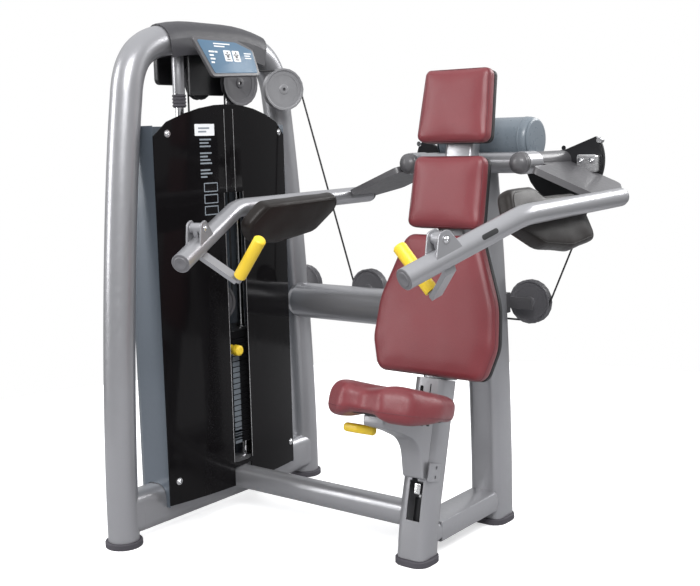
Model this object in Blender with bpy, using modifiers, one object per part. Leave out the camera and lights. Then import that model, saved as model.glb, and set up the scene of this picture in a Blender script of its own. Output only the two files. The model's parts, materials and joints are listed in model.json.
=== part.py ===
"""Selectorised lateral-raise machine for a gym, listed as a pec deck.

Metres, +Z up.  The floor is z = 0 and the origin is the centre of the seat post's foot sole.  The user
sits at x = 0 and faces -Y.  The weight tower stands on the -X side.  Each sub-part is one named object.
"""
import math

import bmesh
import bpy
from mathutils import Matrix, Vector

# ---------------------------------------------------------------- driving dimensions (metres)
GAP = 0.0003                  # clearance left between touching pieces
FOOT_HEIGHT = 0.018           # rubber feet under all four posts
POST_START = FOOT_HEIGHT + GAP

TOWER_X = -0.771              # plane of the tower's arch
TOWER_Y = 0.040               # middle of the arch
ARCH_RADIUS = 0.045           # 90 mm round tube
ARCH_FOOT = 0.411             # half distance between the two feet
ARCH_KNEE = (0.318, 1.280)    # where the legs start to bend inwards: half distance, height
ARCH_TOP = 1.455              # centre height of the arch's crown
WALL = 0.003                  # steel tube wall

ROD_Y = (-0.074, 0.155)       # the two guide rods, at TOWER_X
ROD_RADIUS = 0.0125
STACK_BOTTOM = 0.206          # underside of the lowest plate
PLATE_PITCH = 0.0176
LEFT_DOWN = 17                # plates below the selector pin
LIFTED = 2                    # plates above it, under the thicker head plate
HEAD_PLATE = 0.0275
PLATE_SIZE = (0.105, 0.335)   # plate depth along X and width along Y

SHIELD_X = -0.706             # edges of the front shield
SHIELD_BULGE = 0.031          # how far its middle stands forward
SHIELD_Y = (-0.250, 0.306)
SHIELD_Z = (0.095, 1.190, 1.261)  # bottom, shoulder and crown heights
SHIELD_SLOT = (-0.0005, 0.0765, 0.166, 1.000)
BASE_BEAM = (0.085, 0.120, 0.030, 0.090)  # width, height, corner and centre height under the stack
BASE_CROSS = (0.066, 0.068, 0.024, 0.036, 0.117)  # width, height, corner, y and z of the cross tube

POST_SQUARE = 0.090           # seat post section
POST_KINK = (0.034, 0.200)    # y and z where the seat post becomes straight
POST_TOP = 0.490
POST_SLOPE = 0.255            # y per z of the straight part
REAR_SQUARE = 0.100           # rear post section
REAR_Y = 0.410
REAR_LEAN = 0.070             # rear post centre is REAR_Y - REAR_LEAN * z * z
REAR_TOP = 1.049

MID_TUBE_RADIUS = 0.058
MID_TUBE_YZ = (0.410, 0.620)

PAD_PLANE = (0.1885, 0.2057)  # front of the pads: y = first + second * (z - 1.15)
PAD_THICK = 0.050
SPINE_SIZE = (0.090, 0.048)
CROSS_Y = 0.304
CROSS_RADIUS = 0.029
PIVOT_X = 0.180               # the arms turn about Y axes here
PIVOT_Z = 1.075

CABLE_RADIUS = 0.003
GROOVE_RADIUS = 0.058         # of the large pulleys
CAM_RADIUS = 0.125
PULLEY_Z = 0.657
CABLE_PLANE = {"left": 0.486, "right": 0.515}   # y of each arm's cable behind the frame

ARM_RADIUS = 0.0245
PAD_SHIFT = {"left": -0.030, "right": 0.055}    # along Y, from the elbow pads' middle place
SEAT_TRAVEL = 0.080

NAME = "lateral_raise_machine"
SIDES = {"left": -1, "right": 1}   # keys name the side of the picture of the machine seen from in front


# ---------------------------------------------------------------- small helpers
def clear_scene():
    for item in list(bpy.data.objects):
        bpy.data.objects.remove(item, do_unlink=True)


def collection(name):
    made = bpy.data.collections.new(name)
    bpy.context.scene.collection.children.link(made)
    return made


clear_scene()
PARTS = collection(NAME)
CUTTERS = collection("cutters_and_guides")


def material(name, colour, roughness, metallic=0.0):
    made = bpy.data.materials.new(name)
    made.use_nodes = True
    shader = made.node_tree.nodes["Principled BSDF"]
    shader.inputs["Base Color"].default_value = (*colour, 1.0)
    shader.inputs["Roughness"].default_value = roughness
    shader.inputs["Metallic"].default_value = metallic
    made.diffuse_color = (*colour, 1.0)
    return made


SILVER = material("silver_paint", (0.55, 0.55, 0.57), 0.35, 0.6)
DARK_GREY = material("dark_grey_paint", (0.075, 0.074, 0.082), 0.45, 0.3)
BLACK_GLOSS = material("black_gloss_panel", (0.006, 0.006, 0.007), 0.08)
BLACK_STEEL = material("black_steel", (0.02, 0.02, 0.022), 0.45, 0.4)
SLATE = material("slate_plastic", (0.14, 0.17, 0.20), 0.35)
RUBBER = material("rubber", (0.045, 0.045, 0.05), 0.75)
CHROME = material("chrome", (0.72, 0.72, 0.73), 0.12, 1.0)
WINE = material("wine_upholstery", (0.26, 0.055, 0.07), 0.42)
BROWN = material("dark_upholstery", (0.025, 0.02, 0.018), 0.40)
YELLOW = material("yellow_plastic", (0.85, 0.60, 0.02), 0.35)
BLUE = material("blue_sign", (0.10, 0.20, 0.33), 0.40)
SLATE_PAINT = material("slate_paint", (0.14, 0.16, 0.19), 0.45, 0.2)
COVER = material("cover_plastic", (0.075, 0.074, 0.082), 0.45)
WHEEL = material("pulley_plastic", (0.13, 0.13, 0.14), 0.40)
PALE_WHEEL = material("pale_pulley_plastic", (0.42, 0.42, 0.43), 0.40)
CORD = material("coated_cable", (0.06, 0.06, 0.06), 0.40)


def link(item, finish, group=PARTS):
    group.objects.link(item)
    item.data.materials.append(finish)
    return item


def as_guide(item):
    item.hide_render = True
    item.display_type = "WIRE"
    return item


def apply_scale(item):
    item.data.transform(Matrix.Diagonal((*item.scale, 1.0)))
    item.scale = (1.0, 1.0, 1.0)


def bevel(item, width, segments=2):
    added = item.modifiers.new("bevel", "BEVEL")
    added.width = width
    added.segments = segments
    added.limit_method = "ANGLE"
    return item


def solidify(item, thickness):
    added = item.modifiers.new("wall", "SOLIDIFY")
    added.thickness = thickness
    added.offset = -1.0
    added.use_even_offset = True
    return item


def box(name, size, centre, finish, turn=None, edge=0.0, group=PARTS):
    """A block, turned about its own centre, with rounded edges."""
    bpy.ops.mesh.primitive_cube_add(size=1.0)
    item = bpy.context.object
    item.name = name
    for owner in list(item.users_collection):
        owner.objects.unlink(item)
    item.scale = size
    apply_scale(item)
    item.matrix_world = Matrix.Translation(centre) @ (turn.to_4x4() if turn else Matrix.Identity(4))
    link(item, finish, group)
    if edge:
        bevel(item, edge)
    return item


def spline(data, points, closed=False):
    line = data.splines.new("POLY")
    line.points.add(len(points) - 1)
    for point, place in zip(line.points, points):
        point.co = (*place, 1.0)
    line.use_cyclic_u = closed
    return line


def curve(name, dimensions="3D"):
    data = bpy.data.curves.new(name, "CURVE")
    data.dimensions = dimensions
    data.resolution_u = 6
    data.render_resolution_u = 0
    return data


def to_mesh(item):
    """Turn a curve object into a closed mesh object of the same name and place."""
    bpy.context.view_layer.update()
    graph = bpy.context.evaluated_depsgraph_get()
    mesh = bpy.data.meshes.new_from_object(item.evaluated_get(graph))
    work = bmesh.new()
    work.from_mesh(mesh)
    bmesh.ops.remove_doubles(work, verts=work.verts, dist=0.00002)
    bmesh.ops.recalc_face_normals(work, faces=work.faces)
    work.to_mesh(mesh)
    work.free()
    name = item.name
    groups = list(item.users_collection)
    place = item.matrix_world.copy()
    bpy.data.objects.remove(item, do_unlink=True)
    made = bpy.data.objects.new(name, mesh)
    made.matrix_world = place
    for group in groups:
        group.objects.link(made)
    return made


def combine(item, other, operation):
    """Cut item with other, or join other to it."""
    for owner in list(other.users_collection):
        owner.objects.unlink(other)
    CUTTERS.objects.link(other)
    as_guide(other)
    added = item.modifiers.new(operation.lower(), "BOOLEAN")
    added.operation = operation
    added.object = other
    return item


def cut(item, other):
    return combine(item, other, "DIFFERENCE")


def join(item, other):
    return combine(item, other, "UNION")


def smooth(item, angle=35.0):
    item.data.shade_smooth()
    item.data.set_sharp_from_angle(angle=math.radians(angle))
    return item


def round_tube(name, points, radius, finish, wall=0.0, sides=16, group=PARTS):
    """A round tube or bar along straight pieces between the points."""
    data = curve(name)
    spline(data, points)
    data.bevel_depth = radius
    data.bevel_resolution = sides // 4 - 1 if sides > 4 else 0
    data.use_fill_caps = not wall
    item = link(bpy.data.objects.new(name, data), finish, group)
    return solidify(item, wall) if wall else item


def rounded(corners, radii, steps=5):
    """Outline through the corners, each rounded with its own arc."""
    count = len(corners)
    outline = []
    for index, corner in enumerate(corners):
        here = Vector(corner)
        radius = radii[index] if isinstance(radii, (list, tuple)) else radii
        before = (Vector(corners[index - 1]) - here).normalized()
        after = (Vector(corners[(index + 1) % count]) - here).normalized()
        if radius <= 0.0:
            outline.append(tuple(here))
            continue
        half = before.angle(after) / 2.0
        reach = radius / math.tan(half)
        centre = here + (before + after).normalized() * (radius / math.sin(half))
        start = here + before * reach - centre
        end = here + after * reach - centre
        sweep = start.angle_signed(end)
        for step in range(steps + 1):
            turned = start.copy()
            turned.rotate(Matrix.Rotation(-sweep * step / steps, 2))
            outline.append(tuple(centre + turned))
    return outline


def rectangle(width, height, radius, steps=4):
    w, h = width / 2.0, height / 2.0
    return rounded([(w, h), (-w, h), (-w, -h), (w, -h)], radius, steps)


def section_tube(name, points, outline, finish, wall=0.0, group=PARTS):
    """A tube of any section along the points; the section's Y axis stays as upright as it can."""
    guide = curve(name + "_section", "2D")
    spline(guide, [(x, y, 0.0) for x, y in reversed(outline)], closed=True)
    section = bpy.data.objects.new(name + "_section", guide)
    CUTTERS.objects.link(as_guide(section))
    data = curve(name)
    spline(data, points)
    data.twist_mode = "Z_UP"
    data.bevel_mode = "OBJECT"
    data.bevel_object = section
    data.use_fill_caps = not wall
    item = link(bpy.data.objects.new(name, data), finish, group)
    return solidify(item, wall) if wall else item


def plate(name, outline, thickness, frame, finish, group=PARTS, holes=()):
    """A flat plate: outline in the frame's XY plane, thickness centred on it."""
    data = curve(name, "2D")
    data.fill_mode = "BOTH"
    data.extrude = thickness / 2.0
    for loop in (outline, *holes):
        spline(data, [(x, y, 0.0) for x, y in loop], closed=True)
    item = bpy.data.objects.new(name, data)
    item.matrix_world = frame
    return link(item, finish, group)


def turned(name, profile, frame, finish, steps=24, group=PARTS):
    """A turned piece: profile of (radius, height) from top to bottom, about the frame's Z axis."""
    mesh = bpy.data.meshes.new(name)
    work = bmesh.new()
    closed = profile[0] == profile[-1]
    shape = profile[:-1] if closed else profile
    points = [work.verts.new((radius, 0.0, height)) for radius, height in shape]
    for first, second in zip(points, points[1:]):
        work.edges.new((first, second))
    if closed:
        work.edges.new((points[-1], points[0]))
    work.to_mesh(mesh)
    work.free()
    item = bpy.data.objects.new(name, mesh)
    item.matrix_world = frame
    link(item, finish, group)
    added = item.modifiers.new("screw", "SCREW")
    added.steps = steps
    added.render_steps = steps
    added.use_merge_vertices = True
    added.merge_threshold = 0.00005
    return item


def ring(profile):
    """Close a profile that doesn't reach the axis."""
    return [*profile, profile[0]]


def axes(origin, x, y, z):
    made = Matrix((x, y, z)).transposed().to_4x4()
    made.translation = Vector(origin)
    return made


def along(axis, origin):
    """A frame whose Z axis is the given direction."""
    direction = Vector(axis).normalized()
    made = direction.to_track_quat("Z", "Y").to_matrix().to_4x4()
    made.translation = Vector(origin)
    return made


def side_frame(x):
    """Outlines drawn as (y, z), thickness along X."""
    return axes((x, 0.0, 0.0), (0.0, 1.0, 0.0), (0.0, 0.0, 1.0), (1.0, 0.0, 0.0))


def front_frame(y):
    """Outlines drawn as (x, z), thickness along Y."""
    return axes((0.0, y, 0.0), (1.0, 0.0, 0.0), (0.0, 0.0, 1.0), (0.0, -1.0, 0.0))


def hang(name, place, *items):
    """Parent the pieces that move together to an empty on their joint's axis."""
    empty = bpy.data.objects.new(name, None)
    empty.location = place
    PARTS.objects.link(empty)
    bpy.context.view_layer.update()
    for item in items:
        world = item.matrix_world.copy()
        item.parent = empty
        item.matrix_parent_inverse = empty.matrix_world.inverted()
        item.matrix_world = world
    return empty


def set_origin(item, place):
    """Move a piece's origin to its joint without moving its shape."""
    item = to_mesh(item) if item.type == "CURVE" else item
    world = item.matrix_world.copy()
    moved = Matrix.Translation(place)
    item.data.transform(moved.inverted() @ world)
    item.matrix_world = moved
    return item


def bolt(name, place, axis, radius, height, finish=CHROME):
    """A domed bolt head, its flat side at the place."""
    profile = [(radius * math.sin(a), height * math.cos(a)) for a in (0.0, 0.5, 1.0, 1.3)]
    profile += [(radius, 0.0), (0.0, 0.0)]
    return turned(name, profile, along(axis, place), finish, steps=14)


# ---------------------------------------------------------------- tower frame
def arch_curve(name, way, radius, finish, wall, group=PARTS):
    """One leg of the arch, foot to crown."""
    data = curve(name)
    line = data.splines.new("BEZIER")
    line.bezier_points.add(2)
    knots = (
        ((ARCH_FOOT, POST_START), (ARCH_FOOT, -0.2), (ARCH_FOOT, 0.45)),
        (ARCH_KNEE, (0.362, 1.000), (0.300, 1.430)),
        ((GAP / 2.0, ARCH_TOP), (0.220, ARCH_TOP), (-0.1, ARCH_TOP)),
    )
    for knot, (here, before, after) in zip(line.bezier_points, knots):
        knot.handle_left_type = "FREE"
        knot.handle_right_type = "FREE"
        knot.co = (TOWER_X, TOWER_Y + way * here[0], here[1])
        knot.handle_left = (TOWER_X, TOWER_Y + way * before[0], before[1])
        knot.handle_right = (TOWER_X, TOWER_Y + way * after[0], after[1])
    data.resolution_u = 6
    data.bevel_depth = radius
    data.bevel_resolution = 3
    data.use_fill_caps = not wall
    item = link(bpy.data.objects.new(name, data), finish, group)
    return solidify(item, wall) if wall else item


def foot_pad(name, centre, outline, size):
    """Rubber foot: a flat sole with a small step up to the tube."""
    frame = Matrix.Translation((centre[0], centre[1], FOOT_HEIGHT / 2.0))
    return plate(name, outline(size), FOOT_HEIGHT, frame, RUBBER)


def circle(radius, count=24):
    turn = 2.0 * math.pi / count
    return [(radius * math.cos(turn * i), radius * math.sin(turn * i)) for i in range(count)]


def build_tower_frame():
    for name, way in (("front", -1), ("rear", 1)):
        arch_curve(f"tower_upright_{name}", way, ARCH_RADIUS, SILVER, WALL)
        foot_pad(f"tower_foot_{name}", (TOWER_X, TOWER_Y + way * ARCH_FOOT), circle, 0.054)
    base_beam("tower_base_beam", ARCH_FOOT - ARCH_RADIUS - 0.001, 0.0, WALL, PARTS)


def base_beam(name, half, margin, wall, group):
    """Upright oval tube that joins the two uprights under the stack."""
    width, height, corner, z = BASE_BEAM
    outline = rectangle(width + 2 * margin, height + 2 * margin, corner + margin, 3)
    line = [(TOWER_X, TOWER_Y - half, z), (TOWER_X, TOWER_Y + half, z)]
    return section_tube(name, line, outline, SILVER, wall, group)


def build_top_cover():
    """Plastic bridge over the crown: an inverted channel that follows the arch."""
    reach = (-0.185, 0.225)
    inner, outer, skirt = 0.0465, 0.0500, 0.050
    steps = 10
    stations = []
    for step in range(steps + 1):
        offset = reach[0] + (reach[1] - reach[0]) * step / steps
        height = ARCH_TOP - 0.55 * max(0.0, abs(offset) - 0.06) ** 2 * 1.6
        stations.append((TOWER_X, TOWER_Y + offset, height))
    outline = [(outer * math.cos(a), outer * math.sin(a)) for a in
               [math.pi * i / 10 for i in range(11)]]
    outline = [(outer, -skirt), *outline, (-outer, -skirt)]
    hollow = [(inner * math.cos(a), inner * math.sin(a)) for a in
              [math.pi * i / 10 for i in range(10, -1, -1)]]
    outline += [(-inner, -skirt), *hollow, (inner, -skirt)]
    section_tube("top_cover", stations, outline, COVER)


def build_shroud():
    """Sheet-steel housing round the stack: two sides and a back, open towards the user."""
    front_y, rear_y = TOWER_Y - 0.279, TOWER_Y + 0.279
    back_x, edge_x = -0.845, SHIELD_X - 0.006
    path = rounded([(edge_x, rear_y), (back_x, rear_y), (back_x, front_y), (edge_x, front_y)],
                   [0.0, 0.030, 0.030, 0.0], steps=3)
    low, high = 0.085, 1.200
    data = curve("stack_shroud", "3D")
    spline(data, [(x, y, (low + high) / 2.0) for x, y in path])
    data.extrude = (high - low) / 2.0
    item = to_mesh(solidify(link(bpy.data.objects.new("stack_shroud", data), SLATE_PAINT), 0.002))
    cut(item, to_mesh(base_beam("shroud_arches", ARCH_FOOT, 0.0015, 0.0, CUTTERS)))


def shield_shell(name, bulge_x, finish, group=PARTS):
    """Sheet curved in plan, standing up, before it is trimmed to its outline."""
    count = 12
    span = SHIELD_Y[1] - SHIELD_Y[0] + 0.04
    middle = (SHIELD_Y[0] + SHIELD_Y[1]) / 2.0
    points = []
    for step in range(count + 1):
        across = -1.0 + 2.0 * step / count
        points.append((bulge_x - SHIELD_BULGE * across * across, middle + across * span / 2.0, 0.67))
    data = curve(name, "3D")
    spline(data, points)
    data.extrude = 0.66
    item = link(bpy.data.objects.new(name, data), finish, group)
    return solidify(item, 0.004)


def shield_outline(margin=0.0):
    low, shoulder, crown = SHIELD_Z
    y0, y1 = SHIELD_Y[0] + margin, SHIELD_Y[1] - margin
    middle = (y0 + y1) / 2.0
    rise = crown - shoulder - 0.02
    arch = []
    for step in range(9):
        across = 1.0 - 2.0 * step / 8.0
        arch.append((middle + across * (y1 - y0 - 0.09) / 2.0,
                     shoulder + 0.02 + rise * (1.0 - across * across)))
    corners = [(y1, low), *[(y1, shoulder - 0.02)], *arch, (y0, shoulder - 0.02), (y0, low)]
    return corners


def build_shield():
    """Glossy front guard with the selector slot, bolted on with four domed screws."""
    shell = to_mesh(shield_shell("front_shield", SHIELD_X + SHIELD_BULGE, BLACK_GLOSS))
    trim = to_mesh(plate("shield_trim", shield_outline(), 0.3, side_frame(SHIELD_X), BLACK_GLOSS))
    combine(shell, trim, "INTERSECT")
    y0, y1, z0, z1 = SHIELD_SLOT
    slot = [(y0, z0), (y1, z0), (y1, z1), (y0, z1)]
    cut(shell, to_mesh(plate("shield_slot", rounded(slot, 0.012, 3), 0.4,
                             side_frame(SHIELD_X), BLACK_GLOSS)))
    width, height, _, y, z = BASE_CROSS
    reach, top = width / 2.0 + 0.004, z + height / 2.0 + 0.003
    notch = [(y - reach, 0.0), (y + reach, 0.0), (y + reach, top), (y - reach, top)]
    cut(shell, to_mesh(plate("shield_notch", notch, 0.4, side_frame(SHIELD_X), BLACK_GLOSS)))


# ---------------------------------------------------------------- weight stack
def build_stack():
    for name, y in zip(("front", "rear"), ROD_Y):
        profile = [(0.0, 1.4030), (0.0175, 1.4030), (0.0175, 1.292), (ROD_RADIUS, 1.288),
                   (ROD_RADIUS, 0.2057), (0.024, 0.2052), (0.026, 0.1505), (0.0, 0.1505)]
        turned(f"guide_rod_{name}", profile, Matrix.Translation((TOWER_X, y, 0.0)), CHROME, 16)
    pin_z = STACK_BOTTOM + (LEFT_DOWN + 0.5) * PLATE_PITCH
    front = TOWER_X + PLATE_SIZE[0] / 2.0
    stack_plates("weight_stack", STACK_BOTTOM, [PLATE_PITCH] * LEFT_DOWN)
    top = stack_plates("lifted_plates", STACK_BOTTOM + LEFT_DOWN * PLATE_PITCH,
                       [PLATE_PITCH] * LIFTED + [HEAD_PLATE])
    cut(top, round_bar("pin_bore", (front + 0.01, TOWER_Y - 0.002, pin_z),
                       (TOWER_X + 0.0137, TOWER_Y - 0.002, pin_z), 0.0052, CHROME, CUTTERS, 12))
    join(top, turned("selector_rod", [(0.0, STACK_TOP + 0.018), (0.016, STACK_TOP + 0.018),
                                      (0.016, STACK_TOP - 0.0020), (0.0100, STACK_TOP - 0.0025),
                                      (0.0100, STACK_BOTTOM + 0.01), (0.0, STACK_BOTTOM + 0.01)],
                     Matrix.Translation((TOWER_X, TOWER_Y, 0.0)), CHROME, 14, CUTTERS))
    across = Vector(flat_axis(FLOAT_WAY))
    turn = axes((0, 0, 0), FLOAT_WAY.to_3d(), UP, across).to_3x3()
    for cheek in (-1, 1):
        middle = Vector((*FLOAT_XY, (STACK_TOP + FLOAT_Z + 0.016) / 2.0 - 0.002)) + across * (cheek * 0.0135)
        join(top, box("float_cheek", (0.036, FLOAT_Z - STACK_TOP + 0.020, 0.0045), middle, CHROME, turn,
                      0.0, CUTTERS))
    centre = Vector((*FLOAT_XY, FLOAT_Z))
    join(top, round_bar("float_axle", centre - across * 0.0185, centre + across * 0.0185, 0.0050, CHROME,
                        CUTTERS, 12))
    knob = [(0.0, 0.052), (0.010, 0.052), (0.016, 0.047), (0.017, 0.030), (0.012, 0.024),
            (0.012, 0.016), (0.0155, 0.012), (0.0155, 0.003), (0.012, 0.0010), (0.0048, 0.0008),
            (0.0048, -0.036), (0.0, -0.036)]
    pin = turned("selector_pin", knob, along((1, 0, 0), (front, TOWER_Y - 0.002, pin_z)), YELLOW, 16)
    return [top, pin]


def stack_plates(name, bottom, heights):
    """Weight plates with a groove between neighbours, bored for the rods, rod and pin."""
    groove = 0.003
    profile = []
    half_x, half_y = PLATE_SIZE[0] / 2.0, PLATE_SIZE[1] / 2.0
    low = bottom
    for height in heights:
        high = low + height - GAP
        inset = groove
        profile.append((low, half_x - inset))
        profile.append((low + 0.002, half_x))
        profile.append((high - 0.002, half_x))
        profile.append((high, half_x - inset))
        low += height
    mesh = bpy.data.meshes.new(name)
    work = bmesh.new()
    rings = []
    for z, x in profile:
        y = half_y - (half_x - x)
        outline = rectangle(2.0 * x, 2.0 * y, 0.012, 1)
        rings.append([work.verts.new((TOWER_X + px, TOWER_Y + py, z)) for px, py in outline])
    for lower, upper in zip(rings, rings[1:]):
        for index in range(len(lower)):
            after = (index + 1) % len(lower)
            work.faces.new((lower[index], lower[after], upper[after], upper[index]))
    work.faces.new(rings[0])
    work.faces.new(rings[-1])
    bmesh.ops.recalc_face_normals(work, faces=work.faces)
    work.to_mesh(mesh)
    work.free()
    item = link(bpy.data.objects.new(name, mesh), BLACK_STEEL)
    span = (bottom - 0.02, low + 0.02)
    bores = [(ROD_Y[0], 0.0150), (ROD_Y[1], 0.0150)]
    if name == "weight_stack":
        bores.append((TOWER_Y, 0.0115))
    for y, radius in bores:
        bore = turned(f"{name}_bore", [(0.0, span[1]), (radius, span[1]), (radius, span[0]),
                                       (0.0, span[0])],
                      Matrix.Translation((TOWER_X, y, 0.0)), BLACK_STEEL, 14, CUTTERS)
        cut(item, bore)
    return item


# ---------------------------------------------------------------- pulleys and cable
def pulley(name, centre, axis, radius, width, finish, hub=0.014, bore=0.0055):
    """Grooved wheel with a shallow dished face."""
    half = width / 2.0
    rim = radius + 0.008
    profile = [(bore, half - 0.003), (hub, half - 0.003), (hub + 0.002, half - 0.005),
               (rim - 0.010, half - 0.005), (rim - 0.006, half), (rim, half),
               (rim, half - 0.0015), (radius - CABLE_RADIUS - 0.0015, CABLE_RADIUS),
               (radius - CABLE_RADIUS - 0.0015, -CABLE_RADIUS), (rim, -half + 0.0015),
               (rim, -half), (rim - 0.006, -half), (rim - 0.010, -half + 0.005),
               (hub + 0.002, -half + 0.005), (hub, -half + 0.003), (bore, -half + 0.003)]
    return turned(name, ring(profile), along(axis, centre), finish, 20)


def arc_points(centre, first, second, radius, start, end, count):
    """Points on an arc from start to end degrees, in the plane of two unit vectors."""
    points = []
    for step in range(count + 1):
        angle = math.radians(start + (end - start) * step / count)
        points.append(Vector(centre) + Vector(first) * (radius * math.cos(angle))
                      + Vector(second) * (radius * math.sin(angle)))
    return points


UP = (0.0, 0.0, 1.0)
STACK_TOP = STACK_BOTTOM + (LEFT_DOWN + LIFTED) * PLATE_PITCH + HEAD_PLATE - GAP
FLOAT_Z = STACK_TOP + 0.089
FALL = {"right": (-0.800, -0.008), "left": (-0.742, 0.088)}   # x and y of the two falls
FLOAT_XY = ((FALL["right"][0] + FALL["left"][0]) / 2.0, (FALL["right"][1] + FALL["left"][1]) / 2.0)
FLOAT_WAY = (Vector(FALL["left"]) - Vector(FALL["right"])).normalized()
FLOAT_RADIUS = (Vector(FALL["left"]) - Vector(FALL["right"])).length / 2.0
HEAD_Z = 1.336
SMALL_RADIUS = 0.050
CROWN_RADIUS = 0.062
CROWN_Z = 1.328
REAR_FALL = (-0.855, CABLE_PLANE["right"])
DISC_CENTRE = (-0.694, 0.306, 1.310)
DISC_WAY = (0.446, 0.895)
LOW_PULLEY = (REAR_FALL[0] + GROOVE_RADIUS, CABLE_PLANE["right"], PULLEY_Z)
MID_PULLEY = (-0.500, CABLE_PLANE["left"], 0.662)
COLUMN_X = 0.074


def flat_axis(way):
    """Horizontal axis of a pulley whose plane holds Z and the given way."""
    return (way[1], -way[0], 0.0)


def build_pulleys():
    """All the wheels, by name."""
    to_rear = (Vector(REAR_FALL) - Vector(FALL["right"])).normalized()
    head = (FALL["right"][0] + to_rear.x * SMALL_RADIUS, FALL["right"][1] + to_rear.y * SMALL_RADIUS)
    back = (REAR_FALL[0] - to_rear.x * SMALL_RADIUS, REAR_FALL[1] - to_rear.y * SMALL_RADIUS)
    crown_way = crown_direction()
    crown = (FALL["left"][0] + crown_way.x * CROWN_RADIUS, FALL["left"][1] + crown_way.y * CROWN_RADIUS)
    made = {
        "floating_pulley": pulley("floating_pulley", (*FLOAT_XY, FLOAT_Z),
                                  flat_axis(FLOAT_WAY), FLOAT_RADIUS, 0.020, WHEEL),
        "head_pulley": pulley("head_pulley", (*head, HEAD_Z), flat_axis(to_rear), SMALL_RADIUS,
                              0.018, WHEEL),
        "crown_pulley": pulley("crown_pulley", (*crown, CROWN_Z), flat_axis(crown_way), CROWN_RADIUS,
                               0.016, WHEEL),
        "rear_head_pulley": pulley("rear_head_pulley", (*back, HEAD_Z), flat_axis(to_rear),
                                   SMALL_RADIUS, 0.018, WHEEL),
        "corner_pulley": pulley("corner_pulley", DISC_CENTRE, flat_axis(DISC_WAY), GROOVE_RADIUS,
                                0.026, PALE_WHEEL),
        "lower_pulley": pulley("lower_pulley", LOW_PULLEY, (0, -1, 0), GROOVE_RADIUS, 0.022, WHEEL),
        "mid_pulley": pulley("mid_pulley", MID_PULLEY, (0, -1, 0), GROOVE_RADIUS, 0.026, WHEEL),
    }
    for side, way in SIDES.items():
        name = f"column_pulley_{side}"
        made[name] = pulley(name, (way * COLUMN_X, CABLE_PLANE[side], PULLEY_Z), (0, -1, 0),
                            GROOVE_RADIUS, 0.022, WHEEL)
    return made


def guide_point():
    """Where the left cable is led into the plane of the corner pulley."""
    way = Vector((*DISC_WAY, 0.0)).normalized()
    return Vector(DISC_CENTRE) - way * 0.075 + Vector(UP) * GROOVE_RADIUS


def crown_direction():
    start = Vector(FALL["left"])
    end = guide_point().to_2d()
    return (end - start).normalized()


def tangent_angle(side):
    """Angle in the XZ plane at which the cable leaves a column pulley for its cam.

    The right cable runs up the outer sides of both.  The left one crosses over between them.
    """
    crossed = side == "left"
    pulley_at = Vector((SIDES[side] * COLUMN_X, PULLEY_Z))
    cam_at = Vector((SIDES[side] * PIVOT_X, PIVOT_Z))
    between = cam_at - pulley_at
    heading = math.atan2(between.y, between.x)
    if crossed:
        return heading - math.acos((CAM_RADIUS + GROOVE_RADIUS) / between.length)
    return heading - math.acos((GROOVE_RADIUS - CAM_RADIUS) / between.length)


def build_cables():
    """One cable: two falls round the floating pulley on the stack, and a run to each arm's cam."""
    x_way, z_way = (1.0, 0.0, 0.0), UP
    to_rear = (Vector(REAR_FALL) - Vector(FALL["right"])).normalized().to_3d()
    head = Vector((*FALL["right"], HEAD_Z)) + to_rear * SMALL_RADIUS
    back = Vector((*REAR_FALL, HEAD_Z)) - to_rear * SMALL_RADIUS
    float_centre = Vector((*FLOAT_XY, FLOAT_Z))
    float_way = FLOAT_WAY.to_3d()
    loop = [Vector((*FALL["right"], HEAD_Z - 4 * GAP))]
    loop += arc_points(float_centre, float_way, UP, FLOAT_RADIUS, 180, 360, 10)
    loop.append(Vector((*FALL["left"], CROWN_Z - 4 * GAP)))
    cord("cable_loop", loop)
    right = arc_points(head, to_rear, UP, SMALL_RADIUS, 180, 90, 5)
    right += arc_points(back, to_rear, UP, SMALL_RADIUS, 90, 0, 5)
    right += arc_points(LOW_PULLEY, x_way, z_way, GROOVE_RADIUS, 180, 270, 6)
    right += arc_points((COLUMN_X, CABLE_PLANE["right"], PULLEY_Z), x_way, z_way, GROOVE_RADIUS,
                        270, 360 + math.degrees(tangent_angle("right")), 6)
    right.append(cam_touch("right"))
    cord("cable_right", right)
    crown_way = crown_direction().to_3d()
    crown = Vector((*FALL["left"], CROWN_Z)) + crown_way * CROWN_RADIUS
    disc_way = Vector((*DISC_WAY, 0.0)).normalized()
    left = arc_points(crown, crown_way, UP, CROWN_RADIUS, 180, 86, 7)
    left.append(guide_point())
    left += arc_points(DISC_CENTRE, disc_way, UP, GROOVE_RADIUS, 90, 14, 5)
    left += arc_points(MID_PULLEY, x_way, z_way, GROOVE_RADIUS, 192, 270, 6)
    left += arc_points((-COLUMN_X, CABLE_PLANE["left"], PULLEY_Z), x_way, z_way, GROOVE_RADIUS,
                       270, 360 + math.degrees(tangent_angle("left")), 8)
    left.append(cam_touch("left"))
    cord("cable_left", left)


def cam_touch(side):
    """Where the cable meets the cam's rim, just short of the stretch that turns with it."""
    angle = tangent_angle(side) + (math.pi if side == "left" else 0.0)
    return Vector((SIDES[side] * PIVOT_X + CAM_RADIUS * math.cos(angle), CABLE_PLANE[side],
                   PIVOT_Z + CAM_RADIUS * math.sin(angle)))


def cord(name, points):
    data = curve(name)
    spline(data, points)
    data.bevel_depth = CABLE_RADIUS
    data.bevel_resolution = 1
    data.use_fill_caps = True
    return link(bpy.data.objects.new(name, data), CORD)


# ---------------------------------------------------------------- main frame
def post_line(z):
    """Seat post's centre at a height: a curved foot, then straight."""
    kink_y, kink_z = POST_KINK
    if z >= kink_z:
        return (0.0, kink_y + POST_SLOPE * (z - kink_z), z)
    share = z / kink_z
    return (0.0, kink_y * (0.45 * share + 0.55 * share * share), z)


def rear_line(z):
    return (0.0, REAR_Y - REAR_LEAN * z * z, z)


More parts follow.
